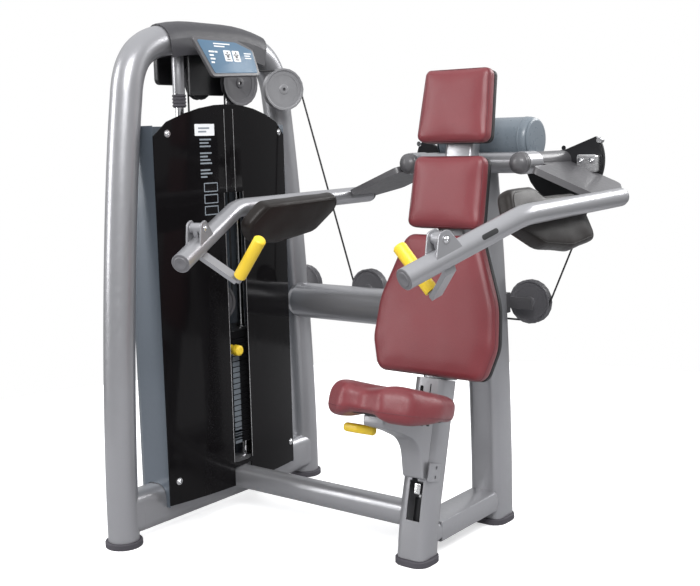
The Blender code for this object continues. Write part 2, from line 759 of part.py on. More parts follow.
def pad_front(z):
    """A point on the middle of the pads' front plane."""
    return Vector((0.0, PAD_PLANE[0] + PAD_PLANE[1] * (z - 1.15), z))


PAD_UP = Vector((0.0, PAD_PLANE[1], 1.0)).normalized()
PAD_OUT = Vector((0.0, -1.0, PAD_PLANE[1])).normalized()
POST_UP = Vector((0.0, POST_SLOPE, 1.0)).normalized()
POST_OUT = Vector((0.0, -1.0, POST_SLOPE)).normalized()


def level_foot(name, line, heights, square):
    """A post along the line, cut off level just above its foot."""
    points = [Vector(line(z)) for z in heights]
    points[0] += (points[0] - points[1]).normalized() * 0.02
    post = to_mesh(section_tube(name, points, rectangle(square, square, 0.022, 3), SILVER, WALL))
    post.data.materials.clear()
    post.data.materials.append(SILVER)
    return cut(post, box(f"{name}_level", (0.3, 0.3, 0.2), (0.0, points[0].y, POST_START - 0.1), SILVER,
                         None, 0.0, CUTTERS))


def build_posts():
    post = level_foot("seat_post", post_line, (0.03, 0.06, 0.10, 0.15, 0.20, POST_TOP), POST_SQUARE)
    turn = axes((0, 0, 0), (1, 0, 0), -POST_OUT, POST_UP).to_3x3()
    middle = Vector(post_line(0.1665)) + POST_OUT * (POST_SQUARE / 2.0)
    middle.x = 0.006
    cut(post, box("post_window", (0.042, 0.050, 0.108), middle, SILVER, turn, 0.0, CUTTERS))
    high = Vector(post_line(0.270)) + POST_OUT * (POST_SQUARE / 2.0)
    cut(post, box("post_slot", (0.018, 0.050, 0.180), high, SILVER, turn, 0.0, CUTTERS))
    level_foot("rear_post", rear_line, (0.03, 0.2, 0.4, 0.6, 0.8, 0.93, REAR_TOP), REAR_SQUARE)
    foot_pad("seat_post_foot", (0.0, 0.0), lambda s: rectangle(s, s, 0.038, 4), POST_SQUARE + 0.018)
    foot_pad("rear_post_foot", (0.0, REAR_Y), lambda s: rectangle(s, s, 0.040, 4), REAR_SQUARE + 0.018)


def build_base():
    width, height, corner, y, z = BASE_CROSS
    left = TOWER_X + BASE_BEAM[0] / 2.0 + 2 * GAP
    section_tube("base_cross_tube", [(left, y, z), (-POST_SQUARE / 2.0 - GAP, y, z)],
                 rectangle(width, height, corner, 3), SILVER, WALL)
    start = post_line(0.074)[1] + POST_SQUARE / 2.0 + 0.006
    end = REAR_Y - REAR_SQUARE / 2.0 - 0.002
    section_tube("base_long_tube", [(0.0, start, 0.074), (0.0, end, 0.074)],
                 rectangle(0.090, 0.058, 0.006, 2), SILVER, WALL)


def build_mid_tube():
    """Large tube from the tower to the rear post, with a domed end saddled over the upright."""
    y, z = MID_TUBE_YZ
    length = -TOWER_X - REAR_SQUARE / 2.0 - GAP
    dome = 0.040
    profile = [(0.0, length)]
    for step in range(1, 6):
        angle = math.pi / 2.0 * step / 5.0
        profile.append((MID_TUBE_RADIUS * math.sin(angle), length - dome + dome * math.cos(angle)))
    profile.append((MID_TUBE_RADIUS, 0.0))
    tube = turned("mid_tube", profile, along((-1, 0, 0), (-REAR_SQUARE / 2.0 - GAP, y, z)), SILVER, 24)
    solidify(tube, WALL)
    cut(tube, to_mesh(arch_curve("mid_tube_saddle", 1, ARCH_RADIUS + 2 * GAP, SILVER, 0.0, CUTTERS)))


def build_spine():
    behind = PAD_THICK + GAP + SPINE_SIZE[1] / 2.0
    points = []
    for z in (0.5015, 1.270):
        points.append(pad_front(z) - PAD_OUT * behind)
    section_tube("backrest_spine", points, rectangle(*SPINE_SIZE, 0.012, 3), SILVER, WALL)


def build_shoulder_tube():
    """Cross tube with a bored boss at each end for the arm axles."""
    tube = round_bar("shoulder_tube", (-PIVOT_X, CROSS_Y, PIVOT_Z), (PIVOT_X, CROSS_Y, PIVOT_Z),
                     CROSS_RADIUS, SILVER)
    for side, way in SIDES.items():
        x = way * PIVOT_X
        join(tube, round_bar(f"boss_{side}", (x, 0.2625, PIVOT_Z), (x, 0.3330, PIVOT_Z), 0.031, SILVER,
                             CUTTERS))
    cut(tube, round_bar("shoulder_bore", (-0.172, CROSS_Y, PIVOT_Z), (0.172, CROSS_Y, PIVOT_Z),
                        CROSS_RADIUS - 0.0035, SILVER, CUTTERS, 20))
    for side, way in SIDES.items():
        x = way * PIVOT_X
        cut(tube, round_bar(f"boss_bore_{side}", (x, 0.20, PIVOT_Z), (x, 0.40, PIVOT_Z), 0.0162, SILVER,
                            CUTTERS, 16))


def round_bar(name, start, end, radius, finish, group=PARTS, steps=24):
    """Plain cylinder between two points."""
    start, end = Vector(start), Vector(end)
    length = (end - start).length
    profile = [(0.0, length), (radius, length), (radius, 0.0), (0.0, 0.0)]
    return turned(name, profile, along(end - start, start), finish, steps, group)


def build_drum():
    """Round housing behind the shoulders, a turned shell open round the cross shaft."""
    radius, half, edge = 0.063, 0.146, 0.016
    end = []
    for step in range(5):
        angle = math.pi / 2.0 * step / 4.0
        end.append((radius - edge + edge * math.sin(angle), half - edge + edge * math.cos(angle)))
    outer = [(0.014, half), *end]
    profile = outer + [(r, -z) for r, z in reversed(outer)]
    drum = turned("pivot_housing", profile, along((1, 0, 0), (0.0, 0.411, 1.137)), SLATE, 24)
    solidify(drum, 0.003)


def build_main_brackets():
    """Bar on the back of the rear post that carries the two column pulleys."""
    y = MID_TUBE_YZ[0] + MID_TUBE_RADIUS + 0.0033
    post_back = rear_line(PULLEY_Z)[1] + REAR_SQUARE / 2.0 + 0.0035
    bar = box("column_pulley_bracket", (0.205, 0.005, 0.034), (0.0, y, PULLEY_Z), DARK_GREY, None, 0.001)
    join(bar, box("bracket_spacer", (0.060, y - post_back, 0.060), (0.0, (y + post_back) / 2.0, PULLEY_Z),
                  DARK_GREY, None, 0.0, CUTTERS))
    for side, way in SIDES.items():
        plane = CABLE_PLANE[side]
        join(bar, round_bar(f"column_stub_{side}", (way * COLUMN_X, y, PULLEY_Z),
                            (way * COLUMN_X, plane + 0.013, PULLEY_Z), 0.0050, DARK_GREY, CUTTERS, 12))


# ---------------------------------------------------------------- pads
def pad_frame(z):
    frame = axes((0, 0, 0), (1, 0, 0), PAD_UP, PAD_OUT)
    frame.translation = pad_front(z) - PAD_OUT * (PAD_THICK / 2.0)
    return frame


def back_pad(name, low, high, widths, radius):
    """Flat cushion between two heights; widths are its half widths at bottom, widest and top."""
    middle = (low + high) / 2.0
    half = (high - low) / 2.0 / PAD_UP.z
    bottom, widest, top = widths
    corners = [(bottom, -half), (widest, -half * 0.45), (top, half),
               (-top, half), (-widest, -half * 0.45), (-bottom, -half)]
    radii = [radius, 0.10, radius, radius, 0.10, radius]
    return plate(name, rounded(corners, radii, 4), PAD_THICK - 2 * GAP, pad_frame(middle), WINE)


def build_pads():
    back_pad("head_pad", 1.136, 1.338, (0.115, 0.112, 0.104), 0.020)
    back_pad("upper_back_pad", 0.904, 1.102, (0.117, 0.117, 0.114), 0.022)
    back_pad("lower_back_pad", 0.505, 0.890, (0.166, 0.188, 0.118), 0.040)


# ---------------------------------------------------------------- seat
SEAT_ORIGIN = Vector(post_line(0.373)) + POST_OUT * (POST_SQUARE / 2.0)


LEVER_PIVOT = (-0.0305, 0.172, -0.034)


def seat_point(x, forward, up):
    return SEAT_ORIGIN + Vector((x, 0.0, 0.0)) + POST_OUT * forward + POST_UP * up


def build_seat():
    thick = 0.070
    frame = axes(seat_point(0.0, 0.0, 0.0125 + thick / 2.0), (-1, 0, 0), POST_OUT, POST_UP)
    half = [(0.075, 0.022), (0.148, 0.060), (0.162, 0.165), (0.136, 0.274), (0.060, 0.322)]
    corners = half + [(0.0, 0.298)] + [(-x, f) for x, f in reversed(half)]
    radii = [0.03, 0.06, 0.12, 0.045, 0.03, 0.04, 0.03, 0.045, 0.12, 0.06, 0.03]
    pad = plate("seat_pad", rounded(corners, radii, 3), thick, frame, WINE)
    bracket = build_seat_bracket()
    lever = build_seat_lever()
    rod = build_gas_spring()
    hang("seat_carriage", SEAT_ORIGIN, pad, bracket, rod)
    set_origin(lever, seat_point(*LEVER_PIVOT))


def build_seat_bracket():
    """Hollow pressed gusset under the seat, open towards the post, with a flat leg down the post."""
    width, wall, leg_end, middle = 0.066, 0.004, -0.152, 0.005
    near = 2 * GAP
    outline = rounded([(near, 0.0115), (0.236, 0.0115), (0.236, -0.014), (0.165, -0.050), (0.060, -0.060),
                       (0.022, -0.087), (near, -0.092)], [0.0, 0.006, 0.012, 0.060, 0.030, 0.006, 0.0], 3)
    frame = axes(seat_point(middle, 0.0, 0.0), POST_OUT, POST_UP, (1, 0, 0))
    solid = to_mesh(plate("seat_bracket", outline, width, frame, SILVER))
    work = bmesh.new()
    work.from_mesh(solid.data)
    behind = [face for face in work.faces if face.normal.x < -0.9]
    bmesh.ops.delete(work, geom=behind, context="FACES")
    work.to_mesh(solid.data)
    work.free()
    solid.data.materials.clear()
    solid.data.materials.append(SILVER)
    solidify(solid, wall)
    turn = axes((0, 0, 0), (1, 0, 0), -POST_OUT, POST_UP).to_3x3()
    leg_top = -0.080
    join(solid, box("bracket_leg", (width, 0.0075, leg_top - leg_end),
                    seat_point(middle, near + 0.0075 / 2.0, (leg_top + leg_end) / 2.0), SILVER, turn, 0.0,
                    CUTTERS))
    cut(solid, box("bracket_back", (0.1, 0.04, 0.3), seat_point(0.0, near - 0.020, -0.05), SILVER, turn, 0.0,
                   CUTTERS))
    join(solid, box("bracket_tongue", (0.012, 0.058, 0.016), seat_point(0.0, -0.024, leg_end + 0.0045),
                    SILVER, turn, 0.0, CUTTERS))
    return solid


def build_seat_lever():
    """Yellow paddle that frees the seat when it is lifted."""
    outline = [(0.004, -0.012), (0.050, -0.010), (0.092, -0.002), (0.098, 0.014), (0.088, 0.028),
               (0.050, 0.026), (0.020, 0.014), (0.004, 0.012)]
    _, forward, up = LEVER_PIVOT
    frame = axes(seat_point(-0.0290, forward, up), (-1, 0, 0), POST_OUT, POST_UP)
    return plate("seat_lever", outline, 0.016, frame, YELLOW)


def build_gas_spring():
    """Cylinder held in the post's foot; its rod lifts the seat carriage."""
    base = Vector(post_line(0.070))
    axis = POST_UP
    shift = POST_OUT * 0.010
    bore = 0.0052
    cup = [(bore, 0.104), (0.0135, 0.104), (0.0145, 0.101), (0.0145, 0.003), (0.0125, 0.0),
           (0.0, 0.0), (0.0, 0.006), (bore, 0.006), (bore, 0.104)]
    turned("gas_spring_body", cup, along(axis, base + shift), BLACK_STEEL, 16)
    rod = [(0.0, 0.143), (0.012, 0.143), (0.012, 0.1062), (0.0042, 0.106), (0.0042, 0.010), (0.0, 0.010)]
    return turned("gas_spring_rod", rod, along(axis, base + shift), CHROME, 16)


# ---------------------------------------------------------------- arms
ARM_END = (0.415, 0.372, 0.980)


def arm_path(way):
    """Tube centre line: handle end, bend beside the user, then straight back."""
    corner_points = [(0.331, -0.518, 0.858), (0.436, -0.200, 0.972), ARM_END]
    radii = [0.0, 0.140, 0.0]
    points = fillet_3d([Vector(p) for p in corner_points], radii, 5)
    return [(way * p.x, p.y, p.z) for p in points]


def fillet_3d(corners, radii, steps):
    """Polyline through 3D corners with arcs of the given radii."""
    made = []
    for index, here in enumerate(corners):
        radius = radii[index]
        if not radius:
            made.append(here)
            continue
        before = (corners[index - 1] - here).normalized()
        after = (corners[index + 1] - here).normalized()
        half = before.angle(after) / 2.0
        reach = radius / math.tan(half)
        centre = here + (before + after).normalized() * (radius / math.sin(half))
        first = (here + before * reach - centre).normalized()
        last = (here + after * reach - centre).normalized()
        for step in range(steps + 1):
            made.append(centre + first.slerp(last, step / steps) * radius)
    return made


LINK_FRONT = 0.250            # front edge of the arm link
LINK_BOSS = 0.3345            # behind this it comes in as far as the axle's sleeve
LINK_THICK = 0.018
CAM_THICK = 0.012


def build_arm(side):
    way = SIDES[side]
    plane = CABLE_PLANE[side]
    axle_end = plane + CAM_THICK / 2.0 + 0.003
    profile = [(0.0, 0.0), (0.012, -0.002), (0.022, -0.008), (0.028, -0.017), (0.0295, -0.026),
               (0.0295, -0.0290), (0.0155, -0.0292), (0.0155, -(axle_end - 0.2330)),
               (0.022, -(axle_end - 0.2328)), (0.022, -(axle_end - 0.2230)), (0.0, -(axle_end - 0.2230))]
    turned(f"arm_axle_{side}", profile, along((0, -1, 0), (way * PIVOT_X, 0.2330, PIVOT_Z)), DARK_GREY, 18)
    tube = build_arm_tube(side)
    link_piece = build_arm_link(side)
    cam = build_cam(side)
    pad = build_elbow_pad(side)
    hang(f"arm_pivot_{side}", (way * PIVOT_X, CROSS_Y, PIVOT_Z), tube, link_piece, cam, pad)
    lever, grip = build_handle(side)
    world = grip.matrix_world.copy()
    grip.parent = lever
    grip.matrix_parent_inverse = lever.matrix_world.inverted()
    grip.matrix_world = world


def handle_pivot(way):
    forward, _, up = handle_frame(way)
    return Vector((way * 0.331, -0.518, 0.858)) - forward * 0.116 + up * 0.0430


def handle_frame(way):
    """Arm tube's directions at the handle: forward along the tube, across, and up from it."""
    forward = (Vector((way * 0.331, -0.518, 0.858)) - Vector((way * 0.436, -0.200, 0.972))).normalized()
    across = forward.cross(Vector(UP)).normalized()
    up = across.cross(forward).normalized()
    return forward, across, up


def build_arm_tube(side):
    way = SIDES[side]
    tube = to_mesh(round_tube(f"arm_tube_{side}", arm_path(way), ARM_RADIUS, SILVER, 0.0025))
    tube.data.materials.clear()
    tube.data.materials.append(SILVER)
    forward, across, up = handle_frame(way)
    pivot = handle_pivot(way)
    turn = axes((0, 0, 0), forward, across, up).to_3x3()
    for cheek in (-1, 1):
        centre = pivot + across * (cheek * 0.0185) - up * 0.020
        join(tube, box(f"clevis_{side}", (0.044, 0.005, 0.068), centre, SILVER, turn, 0.0, CUTTERS))
    slot_centre = pivot - up * 0.045
    cut(tube, box(f"handle_slot_{side}", (0.090, 0.020, 0.100), slot_centre - up * 0.004, SILVER, turn,
                  0.0, CUTTERS))
    return tube


def build_handle(side):
    """Hub on the clevis pin, a flat bar down through the tube and a yellow grip across its end."""
    way = SIDES[side]
    forward, across, up = handle_frame(way)
    pivot = handle_pivot(way)
    hub = [(0.0, 0.0155), (0.0145, 0.0155), (0.0145, -0.0155), (0.0, -0.0155)]
    lever = turned(f"handle_lever_{side}", hub, along(across, pivot), SILVER, 18)
    foot = Vector((way * 0.300, -0.352, 0.800))
    knee = pivot - up * 0.080
    for index, (start, end) in enumerate(((pivot, knee), (knee + up * 0.004, foot))):
        lengthwise = (end - start).normalized()
        wide = lengthwise.cross(forward).normalized()
        turn = axes((0, 0, 0), wide.cross(lengthwise), wide, lengthwise).to_3x3()
        bar = box(f"handle_bar_{side}_{index}", (0.030, 0.012, (end - start).length), (start + end) / 2.0,
                  SILVER, turn, 0.0, CUTTERS)
        join(lever, bar)
    tip = Vector((way * 0.207, -0.361, 0.911))
    grip_way = (tip - foot).normalized()
    join(lever, round_bar(f"grip_stub_{side}", foot - grip_way * 0.002, foot + grip_way * 0.0132, 0.011, SILVER,
                          CUTTERS, 14))
    length = (tip - foot).length
    profile = [(0.0, length), (0.012, length - 0.001), (0.0165, length - 0.006), (0.0165, 0.022),
               (0.0165, 0.0135), (0.0, 0.0135)]
    grip = turned(f"grip_{side}", profile, along(grip_way, foot), YELLOW, 18)
    return lever, grip


def build_arm_link(side):
    """Flat dark bar from the axle's sleeve out to the arm tube, whose end it caps with a dome."""
    way = SIDES[side]
    hub, end = Vector((PIVOT_X, PIVOT_Z)), Vector((ARM_END[0], ARM_END[2]))
    reach = (end - hub).length
    outward = (end - hub).normalized()
    outward = Vector((way * outward.x, 0.0, outward.y))
    normal = Vector((0, 1, 0)).cross(outward) * -way
    tube_side = reach - ARM_RADIUS + 0.0010
    back = CABLE_PLANE[side] - CAM_THICK / 2.0 - 0.006
    cap_y = ARM_END[1] + 5 * GAP
    outline = rounded([(LINK_FRONT, 0.040), (LINK_FRONT, tube_side), (cap_y, tube_side), (cap_y, reach),
                       (cap_y + 0.016, reach), (back, 0.190), (back, 0.020), (LINK_BOSS, 0.020),
                       (LINK_BOSS, 0.040)],
                      [0.018, 0.010, 0.0, 0.0, 0.010, 0.030, 0.0, 0.0, 0.0], 4)
    frame = axes(Vector((way * PIVOT_X, 0.0, PIVOT_Z)) - normal * 0.001, (0, 1, 0), outward, normal)
    piece = to_mesh(plate(f"arm_link_{side}", outline, LINK_THICK, frame, DARK_GREY))
    piece.data.materials.clear()
    piece.data.materials.append(DARK_GREY)
    x = way * PIVOT_X
    sleeve_end = CABLE_PLANE[side] - CAM_THICK / 2.0 - GAP
    join(piece, round_bar(f"sleeve_{side}", (x, LINK_BOSS, PIVOT_Z), (x, sleeve_end, PIVOT_Z), 0.0285,
                          DARK_GREY, CUTTERS))
    dome = [(0.0, 0.024), (0.010, 0.022), (0.018, 0.016), (0.0225, 0.008), (ARM_RADIUS, 0.0), (0.0, 0.0)]
    join(piece, turned(f"tube_dome_{side}", dome,
                       along((0, 1, 0), (way * ARM_END[0], cap_y, ARM_END[2])), DARK_GREY, 20, CUTTERS))
    cut(piece, round_bar(f"sleeve_bore_{side}", (x, 0.25, PIVOT_Z), (x, 0.60, PIVOT_Z), 0.0160,
                         DARK_GREY, CUTTERS, 16))
    cut(piece, round_bar(f"tube_room_{side}", (way * ARM_END[0], 0.20, ARM_END[2]),
                         (way * ARM_END[0], cap_y, ARM_END[2]), ARM_RADIUS + 0.0008, DARK_GREY, CUTTERS))
    return piece


def build_cam(side):
    """Sector that the cable winds on, centred on the arm's axle."""
    way = SIDES[side]
    hub = 0.030
    outline = []
    for step in range(15):
        angle = math.radians(-163.0 + 196.0 * step / 14.0)
        outline.append((PIVOT_X + (CAM_RADIUS - CABLE_RADIUS - GAP) * math.cos(angle),
                        PIVOT_Z + (CAM_RADIUS - CABLE_RADIUS - GAP) * math.sin(angle)))
    for step in range(5):
        angle = math.radians(80.0 + 70.0 * step / 4.0)
        outline.append((PIVOT_X + hub * math.cos(angle), PIVOT_Z + hub * math.sin(angle)))
    bore = [(PIVOT_X + x, PIVOT_Z + z) for x, z in circle(0.0160, 16)]
    outline = [(way * x, z) for x, z in outline]
    bore = [(way * x, z) for x, z in bore]
    return plate(f"cam_{side}", outline, CAM_THICK, front_frame(CABLE_PLANE[side]), BLACK_STEEL,
                 holes=(bore,))


def build_elbow_pad(side):
    """Plain block in the place of the upholstered elbow pad."""
    way = SIDES[side]
    outline = [(-0.215, 0.112), (0.130, 0.120), (0.160, 0.085), (0.080, 0.010), (-0.060, -0.012),
               (-0.170, 0.000), (-0.225, 0.055)]
    outline = rounded(outline, [0.02, 0.02, 0.03, 0.05, 0.05, 0.04, 0.03], 3)
    low = Vector((way * 0.398, PAD_SHIFT[side], 0.885))
    rise = Vector((way * -0.050, 0.0, 0.112)).normalized()
    out = Vector((0, 1, 0)).cross(rise)
    frame = axes(low, (0, 1, 0), rise, out)
    return plate(f"elbow_pad_{side}", outline, 0.042, frame, BROWN)


# ---------------------------------------------------------------- signs and build
def build_sign():
    """Instruction board under the cover, tilted towards the user."""
    centre = Vector((TOWER_X + 0.112, TOWER_Y, 1.392))
    tilt = Matrix.Rotation(math.radians(-18.0), 3, "Y")
    outline = rounded([(0.062, -0.052), (0.098, 0.000), (0.098, 0.046), (-0.098, 0.046),
                       (-0.098, 0.000), (-0.062, -0.052)], 0.012, 3)
    right, up, out = tilt @ Vector((0, 1, 0)), tilt @ Vector((0, 0, 1)), tilt @ Vector((1, 0, 0))
    frame = axes(centre, right, up, out)
    plate("instruction_board", outline, 0.016, frame, BLUE)


def build_head_bracket():
    """Plate hanging from the crown between the two head pulleys."""
    top = ARCH_TOP - ARCH_RADIUS - 0.0045
    box("head_bracket", (0.008, 0.140, top - 1.290), (TOWER_X, TOWER_Y, (top + 1.290) / 2.0), BLACK_STEEL)


def build_all():
    build_tower_frame()
    build_top_cover()
    build_shroud()
    build_shield()
    carriage = build_stack()
    wheels = build_pulleys()
    build_cables()
    build_posts()
    build_base()
    build_mid_tube()
    build_spine()
    build_shoulder_tube()
    build_drum()
    build_main_brackets()
    build_pads()
    build_seat()
    for side in SIDES:
        build_arm(side)
    build_sign()
    build_head_bracket()
    hang("stack_carriage", (TOWER_X, TOWER_Y, STACK_TOP), *carriage, wheels["floating_pulley"])


build_all()
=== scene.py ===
"""Looks of the seated lateral-raise machine: finer shapes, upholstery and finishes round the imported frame."""

import json
import math

import bmesh
import bpy
from mathutils import Matrix, Vector, noise
from mathutils.bvhtree import BVHTree

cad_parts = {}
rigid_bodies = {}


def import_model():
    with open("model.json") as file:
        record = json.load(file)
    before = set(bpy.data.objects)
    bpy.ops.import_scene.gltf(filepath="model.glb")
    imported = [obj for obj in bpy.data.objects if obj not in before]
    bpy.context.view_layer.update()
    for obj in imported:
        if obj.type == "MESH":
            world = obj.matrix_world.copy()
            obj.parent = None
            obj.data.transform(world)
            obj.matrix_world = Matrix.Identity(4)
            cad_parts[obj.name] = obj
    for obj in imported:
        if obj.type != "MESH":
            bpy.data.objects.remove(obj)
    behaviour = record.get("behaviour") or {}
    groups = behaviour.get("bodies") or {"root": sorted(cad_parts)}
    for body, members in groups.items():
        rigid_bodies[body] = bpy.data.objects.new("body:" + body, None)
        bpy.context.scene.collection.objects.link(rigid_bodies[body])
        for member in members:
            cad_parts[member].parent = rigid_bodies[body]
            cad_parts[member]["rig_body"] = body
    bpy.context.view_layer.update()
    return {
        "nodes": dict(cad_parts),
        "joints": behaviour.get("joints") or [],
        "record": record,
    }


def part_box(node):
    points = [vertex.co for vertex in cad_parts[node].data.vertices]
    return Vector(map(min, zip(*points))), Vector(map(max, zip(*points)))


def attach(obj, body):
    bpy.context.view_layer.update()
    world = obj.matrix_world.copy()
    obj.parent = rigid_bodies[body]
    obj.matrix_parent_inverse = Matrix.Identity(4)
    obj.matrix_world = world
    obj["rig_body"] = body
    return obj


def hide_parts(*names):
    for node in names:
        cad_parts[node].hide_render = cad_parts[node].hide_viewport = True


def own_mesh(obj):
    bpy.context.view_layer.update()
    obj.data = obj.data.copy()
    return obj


for stray in list(bpy.data.objects):
    bpy.data.objects.remove(stray, do_unlink=True)

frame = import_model()
NODES = frame["nodes"]
BODY_OF = {name: item["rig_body"] for name, item in NODES.items()}
SLOT_OF = {row["node"]: row["material_slot"] for row in frame["record"]["subparts"]}
JOINTS = {row["name"]: row for row in frame["joints"]}
SIDES = {"left": -1, "right": 1}
UP = Vector((0.0, 0.0, 1.0))

# ---------------------------------------------------------------- camera, light and floor
CAMERA_PLACE = (1.616, -2.376, 1.15)
CAMERA_TURN = (37.54, 8.01, -1.37)     # azimuth, pitch down and roll in degrees
CAMERA_LENS = 56.31
STUDIO_MIDDLE = (-0.2, 0.0, 0.8)
LIGHTS = {                             # place, size and power
    "key": ((2.4, -3.0, 3.6), (2.4, 1.8), 190.0),
    "fill": ((-3.4, -3.0, 2.2), (1.4, 3.0), 90.0),
    "back": ((1.6, 3.4, 2.8), (2.6, 1.2), 80.0),
}
WORLD_RISE = {"From Min": -0.25, "From Max": 0.9, "To Min": 0.22, "To Max": 1.15}
FLOOR_RADIUS = 2.7
FLOOR_GLOW = 0.42
FLOOR_DULL = (0.40, 0.40, 0.41)
WHITE = (1.0, 1.0, 1.0, 1.0)


def linked(name, data):
    item = bpy.data.objects.new(name, data)
    bpy.context.scene.collection.objects.link(item)
    return item


def frame_at(origin, x, y, z):
    made = Matrix((Vector(x), Vector(y), Vector(z))).transposed().to_4x4()
    made.translation = Vector(origin)
    return made


def mesh_of(work, name):
    """Mesh from the working shape, which is freed."""
    mesh = bpy.data.meshes.new(name)
    work.to_mesh(mesh)
    work.free()
    return mesh


def build_camera():
    azimuth, pitch, roll = (math.radians(angle) for angle in CAMERA_TURN)
    forward = Vector((-math.sin(azimuth) * math.cos(pitch), math.cos(azimuth) * math.cos(pitch),
                      -math.sin(pitch)))
    level = Vector((math.cos(azimuth), math.sin(azimuth), 0.0))
    above = level.cross(forward)
    right = level * math.cos(roll) + above * math.sin(roll)
    top = above * math.cos(roll) - level * math.sin(roll)
    data = bpy.data.cameras.new("camera")
    data.lens = CAMERA_LENS
    data.sensor_width = 36.0
    item = linked("camera", data)
    item.matrix_world = frame_at(CAMERA_PLACE, right, top, -forward)
    bpy.context.scene.camera = item


def build_world():
    """Plain white behind the machine, and a dimmer light that grows with height for what it lights."""
    world = bpy.data.worlds.new("studio")
    world.use_nodes = True
    tree = world.node_tree
    seen = tree.nodes["Background"]
    seen.inputs["Color"].default_value = WHITE
    seen.inputs["Strength"].default_value = 1.0
    cast = tree.nodes.new("ShaderNodeBackground")
    cast.inputs["Color"].default_value = (0.97, 0.98, 1.0, 1.0)
    place = tree.nodes.new("ShaderNodeTexCoord")
    split = tree.nodes.new("ShaderNodeSeparateXYZ")
    ramp = tree.nodes.new("ShaderNodeMapRange")
    for key, value in WORLD_RISE.items():
        ramp.inputs[key].default_value = value
    ray = tree.nodes.new("ShaderNodeLightPath")
    mix = tree.nodes.new("ShaderNodeMixShader")
    for source, target in ((place.outputs["Generated"], split.inputs[0]),
                           (split.outputs["Z"], ramp.inputs["Value"]),
                           (ramp.outputs["Result"], cast.inputs["Strength"]),
                           (ray.outputs["Is Camera Ray"], mix.inputs[0]),
                           (cast.outputs[0], mix.inputs[1]),
                           (seen.outputs[0], mix.inputs[2]),
                           (mix.outputs[0], tree.nodes["World Output"].inputs["Surface"])):
        tree.links.new(source, target)
    bpy.context.scene.world = world
    bpy.context.scene.view_settings.view_transform = "Standard"


def build_lights():
    for name, (place, size, power) in LIGHTS.items():
        data = bpy.data.lights.new(name, "AREA")
        data.shape = "RECTANGLE"
        data.size, data.size_y = size
        data.energy = power
        item = linked(name, data)
        item.location = place
        aim = Vector(STUDIO_MIDDLE) - Vector(place)
        item.rotation_euler = aim.to_track_quat("-Z", "Y").to_euler()


def build_floor():
    work = bmesh.new()
    bmesh.ops.create_circle(work, cap_ends=True, segments=96, radius=FLOOR_RADIUS)
    floor = linked("floor", mesh_of(work, "floor"))
    floor.data.materials.append(paper("floor_paper"))


# ---------------------------------------------------------------- materials
class Graph:
    """Small helper that adds and joins the nodes of one material."""

    def __init__(self, name):
        self.material = bpy.data.materials.new(name)
        self.material.use_nodes = True
        self.tree = self.material.node_tree
        self.shader = self.tree.nodes["Principled BSDF"]
        self.place = self.add("ShaderNodeTexCoord").outputs["Object"]

    def add(self, kind, **settings):
        node = self.tree.nodes.new(kind)
        for key, value in settings.items():
            setattr(node, key, value)
        return node

    def join(self, source, target):
        self.tree.links.new(source, target)

    def noise(self, scale, detail=2.0, stretch=None, rough=0.5):
        node = self.add("ShaderNodeTexNoise")
        node.inputs["Scale"].default_value = scale
        node.inputs["Detail"].default_value = detail
        node.inputs["Roughness"].default_value = rough
        source = self.place
        if stretch:
            mapping = self.add("ShaderNodeMapping")
            mapping.inputs["Scale"].default_value = stretch
            self.join(source, mapping.inputs["Vector"])
            source = mapping.outputs["Vector"]
        self.join(source, node.inputs["Vector"])
        return node.outputs["Fac"]

    def cells(self, scale, feature="F1"):
        node = self.add("ShaderNodeTexVoronoi", feature=feature)
        node.inputs["Scale"].default_value = scale
        self.join(self.place, node.inputs["Vector"])
        return node.outputs["Distance"]

    def remap(self, source, low, high, start=0.3, end=0.7):
        node = self.add("ShaderNodeMapRange")
        for key, value in (("From Min", start), ("From Max", end), ("To Min", low), ("To Max", high)):
            node.inputs[key].default_value = value
        self.join(source, node.inputs["Value"])
        return node.outputs["Result"]

    def blend(self, factor, first, second):
        """Mix of two colours, each one a plain colour or another node's output."""
        node = self.add("ShaderNodeMix", data_type="RGBA")
        for key, value in (("A", first), ("B", second)):
            if isinstance(value, tuple):
                node.inputs[key].default_value = (*value, 1.0)
            else:
                self.join(value, node.inputs[key])
        self.join(factor, node.inputs["Factor"])
        return node.outputs["Result"]

    def bumps(self, *layers):
        """Chain of bump nodes: (height source, distance in metres, strength)."""
        previous = None
        for height, distance, strength in layers:
            node = self.add("ShaderNodeBump")
            node.inputs["Distance"].default_value = distance
            node.inputs["Strength"].default_value = strength
            self.join(height, node.inputs["Height"])
            if previous:
                self.join(previous, node.inputs["Normal"])
            previous = node.outputs["Normal"]
        self.join(previous, self.shader.inputs["Normal"])

    def finish(self, colour, rough, plain, *layers):
        """Join colour and roughness, set the shader's plain values, add the relief."""
        self.join(colour, self.shader.inputs["Base Color"])
        self.join(rough, self.shader.inputs["Roughness"])
        for key, value in plain.items():
            self.shader.inputs[key].default_value = value
        if layers:
            self.bumps(*layers)
        return self.material


def shade(colour, amount):
    return tuple(min(1.0, channel * amount) for channel in colour)


def surface(name, colour, rough, metal=0.0, mottle=0.06, grain=None, fine=None):
    """Finish with broad colour drift, uneven gloss and up to two layers of relief."""
    graph = Graph(name)
    drift = graph.remap(graph.noise(9.0, 3.0), 0.0, 1.0)
    base = graph.blend(drift, shade(colour, 1.0 - mottle), shade(colour, 1.0 + mottle))
    uneven = graph.remap(graph.noise(70.0, 4.0), rough - 0.05, rough + 0.05)
    layers = []
    if grain:
        layers.append((graph.noise(grain[0], 2.0), *grain[1:]))
    if fine:
        layers.append((graph.cells(fine[0]), *fine[1:]))
    return graph.finish(base, uneven, {"Metallic": metal}, *layers)


